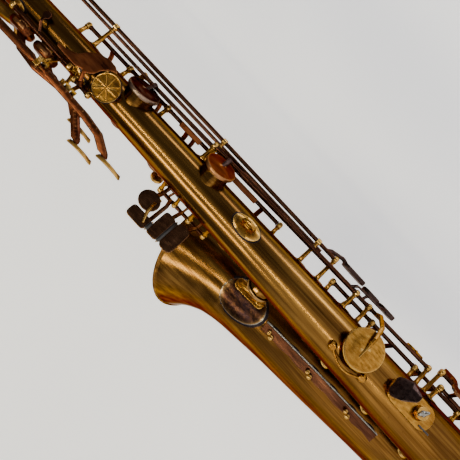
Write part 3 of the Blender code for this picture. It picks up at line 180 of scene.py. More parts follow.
def follow(node, start, ahead, step=0.003, rays=48, window=4):
    """Walks along a tube's bore, and returns its smoothed centres and outer radii."""
    tree = tree_of(node)
    centre, ahead = Vector(start), Vector(ahead).normalized()
    centres, radii = [], []
    while len(centres) < 400:
        for _ in range(3):
            x, y = frame_of(ahead)
            ways = [x * math.cos(t) + y * math.sin(t) for t in round_turns(rays)]
            hits = [tree.ray_cast(centre, way, 0.14) for way in ways]
            far = [h[3] for h in hits if h[0]]
            if len(far) < rays * 0.6:
                return smoothed(centres, window), smoothed(radii, window)
            middle = sorted(far)[len(far) // 2]
            flat = [((h[0] - centre).dot(x), (h[0] - centre).dot(y)) for h in hits
                    if h[0] and 0.72 * middle < h[3] < 1.25 * middle]
            # A circle through the hits, so an open tone hole doesn't pull the centre aside.
            rows = np.array([[a, b, 1.0] for a, b in flat])
            fit = np.linalg.lstsq(rows, (rows[:, :2] ** 2).sum(1), rcond=None)[0]
            centre = centre + x * float(fit[0] / 2) + y * float(fit[1] / 2)
            radius = math.sqrt(fit[2] + (fit[0] ** 2 + fit[1] ** 2) / 4)
        if centres:
            ahead = (ahead * 0.5 + (centre - centres[-1]).normalized() * 0.5).normalized()
        centres.append(centre.copy())
        radii.append(radius + WALL)
        centre = centre + ahead * step
    return smoothed(centres, window), smoothed(radii, window)


def round_turns(count):
    """Equal steps round a full turn."""
    return [2 * math.pi * k / count for k in range(count)]


def smoothed(values, window):
    """Each value averaged with its neighbours, and less towards the ends."""
    out = []
    for i in range(len(values)):
        reach = min(window, i, len(values) - 1 - i)
        part = values[i - reach:i + reach + 1]
        out.append(sum(part[1:], part[0].copy() if hasattr(part[0], "copy") else part[0]) / len(part))
    return out


# ---------------------------------------------------------------- mesh builders

def frame_of(along):
    """Two unit vectors square to a direction."""
    along = Vector(along).normalized()
    x = along.orthogonal().normalized()
    return x, along.cross(x)


class Build:
    """Collects the geometry of one piece."""

    def __init__(self):
        self.bm = bmesh.new()

    def rings(self, rings, close_start=False, close_end=False, loop=False):
        rows = [[self.bm.verts.new(p) for p in ring] for ring in rings]
        pairs = list(zip(rows, rows[1:])) + ([(rows[-1], rows[0])] if loop else [])
        for a, b in pairs:
            for i in range(len(a)):
                j = (i + 1) % len(a)
                self.bm.faces.new((a[i], a[j], b[j], b[i]))
        if close_start:
            self.bm.faces.new(rows[0][::-1])
        if close_end:
            self.bm.faces.new(rows[-1])

    def pipe(self, centres, radii, sides=24):
        """A round bar through the centres, its section carried along without twist."""
        centres = [Vector(c) for c in centres]
        x = None
        rings = []
        for i, (c, r) in enumerate(zip(centres, radii)):
            along = (centres[min(i + 1, len(centres) - 1)] - centres[max(i - 1, 0)]).normalized()
            x = (x - along * x.dot(along)).normalized() if x else along.orthogonal().normalized()
            y = along.cross(x)
            rings.append([c + (x * math.cos(t) + y * math.sin(t)) * r for t in round_turns(sides)])
        self.rings(rings, True, True)

    def turned(self, profile, centre, along, sides=24, loop=False):
        """A turned shape: profile is (distance along the axis, radius) pairs."""
        centre, along = Vector(centre), Vector(along).normalized()
        x, y = frame_of(along)
        rings = [[centre + along * h + (x * math.cos(t) + y * math.sin(t)) * max(r, 1e-5)
                  for t in round_turns(sides)] for h, r in profile]
        self.rings(rings, not loop, not loop, loop)

    def block(self, centre, size, x_dir, z_dir):
        z = Vector(z_dir).normalized()
        x = (Vector(x_dir) - z * Vector(x_dir).dot(z)).normalized()
        turn = Matrix((x, z.cross(x), z)).transposed().to_4x4()
        place = Matrix.Translation(centre) @ turn @ Matrix.Diagonal((*size, 1))
        bmesh.ops.create_cube(self.bm, size=1, matrix=place)

    def patch(self, shell, point, outline, lift, thick):
        """A sheet that lies on a tube: outline is (along, around) pairs about the point's foot."""
        centre, radius, along = shell.at(point)
        out = (Vector(point) - centre).normalized()
        rings = []
        for level, scale in ((-0.0006, 1.0), (thick * 0.7, 1.0), (thick, 0.93), (thick, 0.6), (thick, 0.3)):
            ring = []
            for a, b in ((a * scale, b * scale) for a, b in outline):
                _, r, _ = shell.at(centre + along * a + out * radius)
                way = Matrix.Rotation(b / radius, 3, along) @ out
                ring.append(centre + along * a + way * (r + lift + level))
            rings.append(ring)
        self.rings(rings, False, True)

    def piece(self, name, finish, body, smooth=40, slot=None, bevel=0.0):
        bmesh.ops.recalc_face_normals(self.bm, faces=self.bm.faces)
        mesh = bpy.data.meshes.new(name)
        self.bm.to_mesh(mesh)
        self.bm.free()
        return shown(name, mesh, finish, body, smooth, bevel)


def placed(name, data):
    made = bpy.data.objects.new(name, data)
    bpy.context.scene.collection.objects.link(made)
    return made


def shown(name, mesh, finish, body, smooth=40, bevel=0.0):
    mesh.materials.clear()
    mesh.materials.append(finish)
    mesh.shade_smooth()
    mesh.set_sharp_from_angle(angle=math.radians(smooth))
    made = placed(name, mesh)
    if bevel:
        edge = made.modifiers.new("edge", "BEVEL")
        edge.width, edge.segments, edge.limit_method, edge.angle_limit = bevel, 2, "ANGLE", math.radians(28)
        edge.harden_normals = True
    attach(made, body)
    return made


def drop_normals(mesh):
    """Removes the imported normals, which no longer fit a changed shape."""
    for layer in [a for a in mesh.attributes if a.name == "custom_normal"]:
        mesh.attributes.remove(layer)


def cast(node, finish, shape=None, other=None):
    """A node's shape as one smooth casting, in place of the node.

    shape moves each point: it takes the points and their normals. other is (finish, choose): the faces
    whose centres choose() picks get that finish.
    """
    mesh = NODES[node].data.copy()
    mesh.name = node + "_cast"
    drop_normals(mesh)
    made = shown(node + "_cast", mesh, finish, BODY_OF[node], 180)
    voxels = made.modifiers.new("voxels", "REMESH")
    voxels.mode, voxels.voxel_size, voxels.use_smooth_shade = "VOXEL", CAST_GRAIN, True
    soft = made.modifiers.new("soft", "SMOOTH")
    soft.factor, soft.iterations = 0.5, 10
    mesh = bpy.data.meshes.new_from_object(made.evaluated_get(bpy.context.evaluated_depsgraph_get()))
    made.modifiers.clear()
    made.data = mesh
    points, normals = (np.empty(len(mesh.vertices) * 3, np.float32) for _ in range(2))
    mesh.vertices.foreach_get("co", points)
    mesh.vertices.foreach_get("normal", normals)
    points, normals = points.reshape(-1, 3), normals.reshape(-1, 3)
    if shape:
        points = shape(points, normals)
        mesh.vertices.foreach_set("co", np.ascontiguousarray(points, np.float32).ravel())
    mesh.materials.clear()
    mesh.materials.append(finish)
    if other:
        mesh.materials.append(other[0])
        for face in mesh.polygons:
            face.material_index = int(other[1](face.center))
    mesh.shade_smooth()
    mesh.update()
    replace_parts(made, node)


def refined(node, finish, smooth=50, bevel=0.0004):
    """A finer copy of a node's own shape: welded, with softened edges, in place of the node."""
    mesh = bpy.data.meshes.new(node + "_fine")
    bm = bmesh.new()
    bm.from_mesh(NODES[node].data)
    bmesh.ops.remove_doubles(bm, verts=bm.verts, dist=0.00001)
    bmesh.ops.dissolve_limit(bm, angle_limit=math.radians(1.0), verts=bm.verts, edges=bm.edges)
    bm.to_mesh(mesh)
    bm.free()
    drop_normals(mesh)
    made = shown(node + "_fine", mesh, finish, BODY_OF[node], smooth, bevel)
    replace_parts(made, node)


# ---------------------------------------------------------------- materials

class Graph:
    """A procedural material, built node by node."""

    def __init__(self, name):
        self.material = bpy.data.materials.new(name)
        self.material.use_nodes = True
        self.tree = self.material.node_tree
        self.shader = self.tree.nodes["Principled BSDF"]
        self.place = self.node("ShaderNodeTexCoord").outputs["Object"]

    def node(self, kind):
        return self.tree.nodes.new(kind)

    def link(self, a, b):
        self.tree.links.new(a, b)

    def noise(self, scale, stretch=(1, 1, 1), detail=4.0, rough=0.55, distort=0.0, shift=0.0):
        mapping = self.node("ShaderNodeMapping")
        mapping.inputs["Scale"].default_value = stretch
        mapping.inputs["Location"].default_value = (shift, shift * 1.7, shift * 0.6)
        self.link(self.place, mapping.inputs["Vector"])
        noise = self.node("ShaderNodeTexNoise")
        settings = {"Scale": scale, "Detail": detail, "Roughness": rough, "Distortion": distort}
        for key, value in settings.items():
            noise.inputs[key].default_value = value
        self.link(mapping.outputs["Vector"], noise.inputs["Vector"])
        return noise.outputs["Fac"]

    def ramp(self, value, stops):
        node = self.node("ShaderNodeValToRGB")
        elements = node.color_ramp.elements
        while len(elements) < len(stops):
            elements.new(0.5)
        for element, (position, colour) in zip(elements, stops):
            element.position, element.color = position, (*colour, 1.0)
        self.link(value, node.inputs["Fac"])
        return node.outputs["Color"]

    def spread(self, value, low, high, to_low=0.0, to_high=1.0):
        node = self.node("ShaderNodeMapRange")
        for index, number in enumerate((low, high, to_low, to_high)):
            node.inputs[index + 1].default_value = number
        self.link(value, node.inputs[0])
        return node.outputs[0]

    def mix(self, factor, a, b, kind="MIX"):
        node = self.node("ShaderNodeMix")
        node.data_type, node.blend_type = "RGBA", kind
        for socket, value in ((node.inputs[0], factor), (node.inputs[6], a), (node.inputs[7], b)):
            if isinstance(value, (int, float)):
                socket.default_value = value
            elif isinstance(value, tuple):
                socket.default_value = (*value, 1.0)
            else:
                self.link(value, socket)
        return node.outputs[2]

    def point(self, low, high):
        """1 on outer edges and 0 on faces; with high under low, 1 in corners."""
        return self.spread(self.node("ShaderNodeNewGeometry").outputs["Pointiness"], low, high)

    def bump(self, value, strength, distance=0.0004):
        node = self.node("ShaderNodeBump")
        node.inputs["Strength"].default_value = strength
        node.inputs["Distance"].default_value = distance
        self.link(value, node.inputs["Height"])
        self.link(node.outputs["Normal"], self.shader.inputs["Normal"])

    def done(self, colour, roughness, metallic=1.0, coat=0.0):
        settings = {"Base Color": colour, "Roughness": roughness, "Metallic": metallic, "Coat Weight": coat}
        for key, value in settings.items():
            if isinstance(value, (int, float)):
                self.shader.inputs[key].default_value = value
            else:
                self.link(value, self.shader.inputs[key])
        return self.material


def metal(name, dark, mid, light, stain, rough, along, size=1.0, stained=0.6, worn=None, grain=0.006):
    """Old brass: long streaks, cloudy stain, fine scratches, worn edges and painted shade in the corners."""
    g = Graph(name)
    cloud = g.noise(13 * size, (1, 1, 0.4), 3, 0.55, 0.8)
    streak = g.noise(130 * size, (1, 1, along), 5, 0.6, 0.1, 3.1)
    fine = g.noise(420 * size, (1, 1, along * 0.2), 2, 0.5, 0.0, 7.3)
    colour = g.ramp(streak, ((0.28, dark), (0.50, mid), (0.76, light)))
    colour = g.mix(g.spread(cloud, 0.42, 0.64, 0.0, stained), colour, stain)
    colour = g.mix(g.spread(fine, 0.40, 0.75, 0.0, 0.30), colour, light)
    speck = g.noise(260 * size, (1, 1, 1), 2, 0.5, 0.0, 11.0)
    colour = g.mix(g.spread(speck, 0.68, 0.76, 0.0, 0.25), colour, tuple(c * 0.4 for c in dark))
    # Painted shade: corners, where pointiness is low, are mixed towards a near-black brown.
    colour = g.mix(g.spread(g.point(0.490, 0.450), 0, 1, 0, 0.7), colour, tuple(c * 0.35 for c in dark))
    if worn:
        colour = g.mix(g.spread(g.point(0.525, 0.570), 0, 1, 0, 0.85), colour, worn)
    g.bump(streak, grain)
    g.shader.inputs["Specular Tint"].default_value = (0.36, 0.26, 0.18, 1.0)
    return g.done(colour, g.spread(g.mix(0.5, cloud, streak), 0.35, 0.65, *rough))


BRASS = metal("aged_brass", (0.040, 0.018, 0.004), (0.140, 0.061, 0.013), (0.37, 0.19, 0.043),
              (0.056, 0.021, 0.006), (0.15, 0.25), 0.014, grain=0.0015)
GOLD = metal("bright_brass", (0.13, 0.053, 0.009), (0.33, 0.150, 0.023), (0.54, 0.29, 0.058),
             (0.14, 0.045, 0.010), (0.18, 0.34), 0.5, 1.8, 0.6, (0.62, 0.38, 0.11))
COPPER = metal("copper_keys", (0.040, 0.010, 0.005), (0.110, 0.030, 0.012), (0.21, 0.068, 0.025),
               (0.034, 0.012, 0.007), (0.24, 0.40), 0.25, 1.6, 0.6, (0.46, 0.22, 0.085))
ROD = metal("dark_rods", (0.024, 0.008, 0.005), (0.062, 0.022, 0.012), (0.15, 0.058, 0.030),
            (0.024, 0.012, 0.009), (0.15, 0.30), 0.12, 1.8, 0.5)
DARK = metal("dark_keys", (0.034, 0.014, 0.008), (0.100, 0.042, 0.020), (0.20, 0.095, 0.046),
             (0.022, 0.010, 0.006), (0.16, 0.32), 0.5, 1.6, 0.5, (0.46, 0.27, 0.10))
GREY = metal("grey_keys", (0.018, 0.010, 0.009), (0.044, 0.026, 0.023), (0.095, 0.060, 0.052),
             (0.034, 0.012, 0.010), (0.22, 0.38), 0.5, 1.6, 0.5, (0.32, 0.22, 0.16))
# Near-black metal for the dark rims, outlines and leaves round fittings: painted shade where they meet the
# tube.
PAINTED_SHADE = metal("painted_shade_metal", (0.006, 0.006, 0.010), (0.014, 0.011, 0.016), (0.045, 0.030, 0.024),
             (0.008, 0.008, 0.016), (0.30, 0.50), 0.8, 1.8, 0.6)
STEEL = metal("steel", (0.16, 0.15, 0.135), (0.28, 0.27, 0.245), (0.46, 0.44, 0.40), (0.10, 0.085, 0.07),
              (0.16, 0.32), 0.5, 2.0, 0.4)
SHIELD = metal("shield_brown", (0.010, 0.005, 0.005), (0.030, 0.012, 0.007), (0.110, 0.044, 0.014),
               (0.008, 0.006, 0.012), (0.18, 0.34), 0.5, 2.2, 0.75, (0.34, 0.19, 0.07))


def rubber():
    g = Graph("roller_black")
    haze = g.noise(300, detail=3)
    colour = g.ramp(haze, ((0.3, (0.006, 0.006, 0.007)), (0.7, (0.020, 0.018, 0.018))))
    return g.done(colour, 0.28, 0.0, 0.2)


def leather():
    g = Graph("pad_leather")
    grain = g.noise(900, detail=3)
    g.bump(grain, 0.4, 0.0003)
    return g.done(g.ramp(grain, ((0.35, (0.20, 0.10, 0.045)), (0.65, (0.36, 0.21, 0.10)))), 0.62, 0.0)


def pearl():
    g = Graph("pearl")
    swirl = g.noise(160, detail=3, distort=1.2)
    stops = (0.32, (0.42, 0.33, 0.26)), (0.5, (0.66, 0.57, 0.48)), (0.68, (0.80, 0.76, 0.72))
    colour = g.ramp(swirl, stops)
    return g.done(colour, 0.22, 0.0, 0.6)


def cork():
    g = Graph("cork")
    grain = g.noise(520, detail=5, rough=0.7)
    g.bump(grain, 0.5, 0.0005)
    stops = (0.34, (0.16, 0.085, 0.04)), (0.48, (0.46, 0.30, 0.16)), (0.7, (0.60, 0.43, 0.26))
    return g.done(g.ramp(grain, stops), 0.85, 0.0)


def ebonite():
    g = Graph("ebonite")
    haze = g.noise(60, (1, 0.3, 1), 5)
    return g.done(g.ramp(haze, ((0.35, (0.010, 0.010, 0.012)), (0.7, (0.028, 0.024, 0.020)))),
                  g.spread(haze, 0.3, 0.7, 0.12, 0.30), 0.0, 0.3)


def cane():
    g = Graph("cane")
    fibre = g.noise(900, (1, 0.03, 1), 4, 0.6)
    g.bump(fibre, 0.25, 0.0002)
    return g.done(g.ramp(fibre, ((0.3, (0.50, 0.36, 0.15)), (0.7, (0.78, 0.64, 0.36)))), 0.5, 0.0)


RUBBER, LEATHER, PEARL, CORK, EBONITE, CANE = rubber(), leather(), pearl(), cork(), ebonite(), cane()


# ---------------------------------------------------------------- tubes

def centre_of(node):
    low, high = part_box(node)
    return (low + high) / 2


AXIS = centre_of("body_bow_ferrule")


def straight_shell():
    """The body tube: a straight cone between the rings at its two ends."""
    co = arrays("body_tube")[0]
    low, high = co[:, 2].min(), co[:, 2].max()
    ends = [co[abs(co[:, 2] - z) < 0.0001][:, :2] - np.array(AXIS.xy) for z in (low, high)]
    radius = [np.hypot(*end.T).max() for end in ends]
    parts = [i / 160 for i in range(161)]
    return Shell([(AXIS.x, AXIS.y, low + (high - low) * p) for p in parts],
                 [radius[0] + (radius[1] - radius[0]) * p for p in parts], ROOT)


def mouth_of(node):
    """The rim of the bell: its centre, the way it faces and its radius."""
    co = arrays(node)[0]
    left, right, front = (Vector(co[i]) for i in (co[:, 0].argmin(), co[:, 0].argmax(), co[:, 1].argmin()))
    middle = (left + right) / 2
    facing = (right - left).cross(middle - front).normalized()
    return middle, facing * (1 if facing.z > 0 else -1), (right - left).length / 2


def outer_radius(tree, centre, along):
    """The tube's outer radius, measured inwards from outside."""
    x, y = frame_of(along)
    found = []
    for k in range(36):
        way = x * math.cos(k * math.pi / 18) + y * math.sin(k * math.pi / 18)
        hit, _, _, far = tree.ray_cast(centre + way * 0.12, -way, 0.12)
        if hit:
            found.append(0.12 - far)
    return sorted(found)[len(found) // 2]


def bell_shell():
    """The bell: followed up its bore, then out through the flare to the rim."""
    tree = tree_of("bell")
    foot = centre_of("bell_bow_ferrule")
    centres, radii = follow("bell", foot + UP * 0.0015, UP, window=3)
    mouth, facing, radius = mouth_of("bell")
    while (mouth - centres[-1]).dot(facing) < 0.080:
        centres.pop()
        radii.pop()
    start, ahead = centres[-1], (centres[-1] - centres[-5]).normalized()
    long = (mouth - start).length
    for k in range(1, 41):
        t = k / 40
        centre = (start * (1 - t) ** 3 + (start + ahead * long / 3) * 3 * t * (1 - t) ** 2
                  + (mouth - facing * long / 3) * 3 * t * t * (1 - t) + mouth * t ** 3)
        centres.append(centre)
        turn = (ahead * (1 - t) + facing * t).normalized()
        radii.append(radius if k == 40 else outer_radius(tree, centre, turn))
    return Shell(smoothed(centres, 2), smoothed(radii, 3), ROOT)


BODY = straight_shell()
BELL = bell_shell()
foot, top = (end.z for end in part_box("body_tube"))
BOW = Shell(*follow("bottom_bow", (AXIS.x, AXIS.y, foot - 0.0008), -UP, window=6), ROOT)
LOOP = Shell(*follow("upper_bow", (AXIS.x, AXIS.y, top + 0.002), UP, window=4), ROOT)
swivel, tenon = Vector(JOINT["neck"]["pos_m"]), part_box("neck")[0].z
NECK = Shell(*follow("neck", (swivel.x, swivel.y, tenon + 0.002), UP, window=3), BODY_OF["neck"])
SHELLS = [BODY, BELL, BOW, LOOP, NECK]


def tube_piece(shell, name, node, finish, sides=96, roll=0.0):
    """The wall of a tube, with its bore, and a rolled rim where it ends in a mouth."""
    centres, radii = shell.centres, shell.radii
    x, sections = None, []
    for i, c in enumerate(centres):
        along = (centres[min(i + 1, len(centres) - 1)] - centres[max(i - 1, 0)]).normalized()
        x = (x - along * x.dot(along)).normalized() if x else Vector((1, 0, 0))
        sections.append((c, x, along.cross(x), along))

    def ring(section, radius, ahead=0.0):
        c, a, b, along = section
        return [c + along * ahead + (a * math.cos(t) + b * math.sin(t)) * radius for t in round_turns(sides)]

    outer = [ring(s, r) for s, r in zip(sections, radii)]
    inner = [ring(s, r - WALL) for s, r in zip(sections, radii)][::-1]
    rim = []
    if roll:
        for k in range(9):
            turn = math.pi * (-0.25 + 1.3 * k / 8)
            bulge = radii[-1] + roll * (0.1 + math.cos(turn))
            rim.append(ring(sections[-1], bulge, roll * math.sin(turn) - roll * 0.2))
        outer = outer[:-1]
    build = Build()
    build.rings([*outer, *rim, *inner], loop=True)
    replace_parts(build.piece(name, finish, shell.body, 50, SLOT_OF[node]), node)


def bead(name, node, finish, shell, swell=0.0035):
    """A ferrule: a turned band with a bead at each end."""
    low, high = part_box(node)
    centre, half = (low + high) / 2, (high.z - low.z) / 2
    inner = shell.at(centre)[1] + 0.0006
    side = [(1.0, 0.0), (1.0, 0.6 * swell - 0.0006), (0.92, swell - 0.0008), (0.72, swell - 0.0006),
            (0.6, swell - 0.0018), (0.4, swell - 0.0014)]
    profile = [(-half * part, inner + rise) for part, rise in side]
    profile += [(half * part, inner + rise) for part, rise in side[::-1]]
    build = Build()
    build.turned(profile, centre, UP, 96, loop=True)
    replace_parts(build.piece(name, finish, ROOT, 40, SLOT_OF[node]), node)


tube_piece(BODY, "body_shell", "body_tube", BRASS)
tube_piece(BOW, "bottom_bow_shell", "bottom_bow", BRASS)
tube_piece(BELL, "bell_shell", "bell", BRASS, 128, 0.0017)
tube_piece(LOOP, "upper_bow_shell", "upper_bow", BRASS, 64)
tube_piece(NECK, "neck_shell", "neck", BRASS, 64)
bead("body_ferrule", "body_bow_ferrule", GOLD, BODY)
bead("bell_ferrule", "bell_bow_ferrule", GOLD, BELL)
bead("top_ferrule", "upper_bow_ferrule", GOLD, LOOP, 0.0030)


# ---------------------------------------------------------------- cups, chimneys, rods and posts

def cup_profile(radius, thick):
    """A key cup from its rim to the middle of its shallow dome."""
    edge = radius + 0.0003
    side = [(0.0010, radius - 0.0016), (0.0002, radius - 0.0008), (0.0003, radius), (0.0009, edge),
            (thick * 0.80, edge), (thick * 0.96, edge - 0.0005)]
    dome = [(0.0001, 0.93), (-0.0001, 0.86), (0.0009, 0.60), (0.0013, 0.45), (0.0016, 0.30),
            (0.00175, 0.15), (0.0018, 0)]
    return side + [(thick + rise, radius * part) for rise, part in dome]


def chimney_profile(radius):
    """A tone hole's chimney with its rolled edge, from inside the tube."""
    return [(-0.0170, radius - 0.0012), (-0.0170, radius), (-0.0016, radius), (-0.0010, radius + 0.0004),
            (-0.0004, radius + 0.0002), (-0.0004, radius - 0.0012), (-0.0060, radius - 0.0012)]


CUP_THICK = 0.0050
CUP_FINISH = {"trill_F_sharp_key": GOLD, "high_E_key": GREY, "side_C_key": GREY, "side_Bb_key": COPPER,
              "G_sharp_key": DARK, "low_Eb_key": ROD, "low_C_key": ROD}
CHIMNEYS = {}


def dress_cup(node):
    """A cup over the CAD's disc, its pad, and a place for the chimney under it."""
    centre, normal, radius = discs(node)[0]
    up = -normal
    build = Build()
    build.turned(cup_profile(radius, CUP_THICK), centre, up, 64)
    build.piece(node + "_cup", CUP_FINISH.get(node, COPPER), BODY_OF[node], 35, SLOT_OF[node])
    pad = Build()
    cushion = [(0.0002, 0), (0.0002, radius - 0.0022), (0.0008, radius - 0.0012), (0.0020, radius - 0.0010),
               (0.0020, 0)]
    pad.turned(cushion, centre, up, 48)
    pad.piece(node + "_pad", LEATHER, BODY_OF[node], 35)
    turn = closed_turn(node)
    closed, closed_up = turn @ centre, turn.to_3x3() @ up
    shell = min(SHELLS, key=lambda s: s.nearest(closed)[0])
    CHIMNEYS.setdefault(shell.body, []).append((closed, closed_up, radius - 0.0025))


for key in CUP_KEYS:
    dress_cup(key)
for body, holes in CHIMNEYS.items():
    build = Build()
    for centre, up, radius in holes:
        build.turned(chimney_profile(radius), centre, up, 56, loop=True)
    build.piece("chimneys_" + body, BRASS, body, 35, "aged_brass")

ROD_KEYS = [n for n in JOINT if n.endswith("_key") or n.endswith("_lever")]
HEADS = []


def dress_rod(node):
    """A key's hinge tube with a collar at each end, and places for the posts beside it."""
    a, b = rod_ends(node)
    along = (b - a).normalized()
    long = (b - a).length
    thick = 0.0031 if node == "body_octave_key" else ROD_R
    build = Build()
    ends = [(0.0, thick * 0.9), (0.0003, thick + 0.0005), (0.0016, thick + 0.0005), (0.0019, thick)]
    profile = ends + [(long - h, r) for h, r in ends[::-1]]
    build.turned(profile, a, along, 28)
    build.piece(node + "_tube", GOLD if node == "neck_octave_key" else ROD, BODY_OF[node], 35, SLOT_OF[node])
    if node not in PALMS and long > HEAD_LONG:
        for place, way in ((a, -1), (b, 1)):
            HEADS.append((place + along * way * (HEAD_LONG / 2 + 0.0004), along, JOINT[node]["parent"]))


for key in ROD_KEYS:
    dress_rod(key)
long_low, long_high = rod_ends("high_E_key")
CRADLE_PARTS = 0.049, 0.356, 0.709
CRADLES = [long_low + (long_high - long_low) * part for part in CRADLE_PARTS]


def post(build, dark, tips, shell, head, along, cradle=False):
    """A turned post: flared foot, slim stem with a collar, and a ball head on the hinge line."""
    centre, radius, _ = shell.at(head)
    out = (head - centre).normalized()
    tall = (head - centre).length - radius
    top = tall - (0.0040 if cradle else 0.0)
    stem = [(-0.0012, 0.0050), (0.0006, 0.0049), (0.0012, 0.0040), (0.0022, 0.0031),
            (max(0.003, top * 0.45), 0.0027), (max(0.0035, top - 0.0048), 0.0026),
            (max(0.004, top - 0.0040), 0.0036), (max(0.0045, top - 0.0030), 0.0036),
            (max(0.005, top - 0.0022), 0.0026), (top + 0.001, 0.0026)]
    build.turned(stem, centre + out * radius, out, 24)
    if cradle:
        collar = [(-0.0030, 0.0033), (-0.0026, 0.0040), (0.0026, 0.0040), (0.0030, 0.0033)]
        build.turned(collar, head, along, 24)
    else:
        ball = [(-0.0031, 0.0022), (-0.0029, 0.0032), (-0.0018, 0.0041), (0.0, 0.0045), (0.0018, 0.0041),
                (0.0029, 0.0032), (0.0031, 0.0022)]
        build.turned(ball, head, along, 28)
        tips.turned([(-0.0033, 0.0012), (0.0033, 0.0012)], head, along, 12)
    leaf = [(0.0062 * math.cos(t) * (1.0 + 0.9 * max(0.0, -math.cos(t)) ** 2), 0.0058 * math.sin(t))
            for t in round_turns(28)]
    if tall > 0.006:
        build.patch(shell, head, [(a * 0.9, b * 0.9) for a, b in leaf], 0.0001, 0.0009)
        # A dark leaf a little larger than the foot plate: painted shade round the post's foot.
        dark.patch(shell, head, [(a * 1.22, b * 1.25) for a, b in leaf], 0.0, 0.0003)


def dress_posts():
    """The posts at both ends of every rod, merged where two rods share one."""
    merged = []
    for place, along, body in HEADS:
        if not any((place - other[0]).length < 0.003 for other in merged):
            merged.append((place, along, body))
    for body in sorted({m[2] for m in merged}):
        build, dark, tips = Build(), Build(), Build()
        for place, along, owner in merged:
            if owner == body:
                shells = [s for s in SHELLS if s.body == body]
                post(build, dark, tips, min(shells, key=lambda s: s.nearest(place)[0]), place, along)
        if body == ROOT:
            for place in CRADLES:
                post(build, dark, tips, BODY, place, (long_high - long_low).normalized(), True)
        build.piece("posts_" + body, GOLD, body, 40, "bright_brass")
        # The dark leaves round the post feet are painted shade.
        dark.piece("post_shade_" + body, PAINTED_SHADE, body, 40)
        tips.piece("pivot_screws_" + body, STEEL, body, 40)


dress_posts()


def dress_saddles():
    """The forked pillars of the palm keys."""
    build = Build()
    boss = [(-0.0018, 0.0031), (-0.0015, 0.0034), (0.0015, 0.0034), (0.0018, 0.0031)]
    for node in PALMS:
        point, axis = hinge_of(node)
        centre, radius, _ = BODY.at(point)
        a, b = rod_ends(node)
        half = (b - a).length / 2 + 0.0016
        down = axis.cross(UP).normalized()
        down = -down if down.dot(point - centre) > 0 else down
        bar = point + down * 0.0065
        way = bar - centre - axis * (bar - centre).dot(axis) * 0.45
        foot = way.normalized() * (radius - 0.002) + centre
        build.pipe([foot, foot + (bar - foot) * 0.5, bar], [0.0034, 0.0026, 0.0026], 20)
        build.block(bar, (0.0024, 2 * half + 0.0024, 0.0062), down, UP)
        for end in (-1, 1):
            build.block(bar + axis * end * half - down * 0.0043, (0.0110, 0.0022, 0.0062), down, UP)
            build.turned(boss, point + axis * end * half, axis, 24)
    build.piece("palm_saddles", GOLD, ROOT, 35, "bright_brass", 0.0005)


dress_saddles()


# ---------------------------------------------------------------- keys and fittings

KEY_FINISH = {"aged_brass": BRASS, "bright_brass": GOLD, "copper_keys": COPPER, "dark_keys": DARK,
              "cork": CORK, "ebonite": EBONITE, "cane": CANE}
OWN_FINISH = {"high_E_key": GREY, "side_C_key": GREY, "side_Bb_key": GREY, "body_octave_key": ROD}
REBUILT = {"body_tube", "bottom_bow", "bell", "upper_bow", "neck", "body_bow_ferrule", "bell_bow_ferrule",
           "upper_bow_ferrule", "thumb_rest", "strap_ring", "bell_key_rib", "bell_brace_plate"}
CAST = set(JOINT) - {"neck", "mouthpiece", "neck_clamp_screw", "thumb_hook_screw"} | {
    "thumb_hook", "trill_guard", "bell_key_guard", "bell_brace"}


def from_hinge(node):
    """Distance of each point from a key's hinge line, as a function."""
    point, axis = (np.array(v) for v in hinge_of(node))
    return lambda p: np.linalg.norm(np.cross(p - point, axis), axis=-1)


def palm_shape(node, touch):
    """Palm arms are broad plates: the casting is widened in their own plane, but not at the touch."""
    far = from_hinge(node)
    flat = np.array(TOWARDS_PLAYER)
    wider, hub, blend = 0.0029, 0.005, 0.008

    def widen(points, normals):
        away = far(points)
        clear = abs((points - np.array(touch[0])) @ np.array(touch[1])) - 0.0035
        apart = np.linalg.norm(points - np.array(touch[0]), axis=1) - touch[2] * 1.1
        off_touch = np.clip(np.maximum(clear, apart) / 0.003, 0, 1)
        grow = np.clip((away - hub) / blend, 0, 1) * off_touch * wider
        inward = normals - np.outer(normals @ flat, flat)
        return points + inward * grow[:, None]
    return widen


def dress_touch(node, face):
    """A palm touch: an oval pad with a rolled, bright edge over the CAD's plate."""
    centre, normal, reach = face
    co = arrays(node)[0]
    near = co[np.linalg.norm(co - np.array(centre), axis=1) < reach * 1.02]
    tip = Vector(near[np.linalg.norm(near - np.array(centre), axis=1).argmax()])
    long_way = (tip - centre - normal * (tip - centre).dot(normal)).normalized()
    wide_way = normal.cross(long_way)
    edge = ((-0.0036, 0.80), (-0.0033, 0.96), (-0.0022, 1.04), (-0.0008, 1.06), (0.0004, 1.04),
            (0.0008, 0.97), (0.0007, 0.90), (0.0010, 0.6), (0.0012, 0.3))
    rows = []
    for rise, scale in edge:
        ring = []
        for t in round_turns(48):
            along, across = reach * scale * math.cos(t), reach * 0.62 * scale * math.sin(t)
            lift = normal * (rise + 0.0016 * (along / reach) ** 2)
            ring.append(centre + lift + long_way * along + wide_way * across)
        rows.append(ring)
    build = Build()
    build.rings(rows, True, True)
    build.piece(node + "_touch", GOLD, BODY_OF[node], 50, SLOT_OF[node])


for node in sorted(NODES):
    if node in REBUILT:
        continue
    finish = OWN_FINISH.get(node, KEY_FINISH[SLOT_OF[node]])
    if node in PALMS:
        touch = max((d for d in discs(node, 0.35) if d[2] > 0.0165), key=lambda d: (d[0] - AXIS).dot(d[1]))
        cast(node, finish, palm_shape(node, touch))
        dress_touch(node, touch)
    elif node == "thumb_hook":
        reach = BODY.at(centre_of(node))[1] + 0.0085
        cast(node, finish, None, (GREY, lambda c: math.hypot(c.x - AXIS.x, c.y - AXIS.y) > reach))
    elif node in CAST:
        cast(node, finish)
    else:
        refined(node, finish)


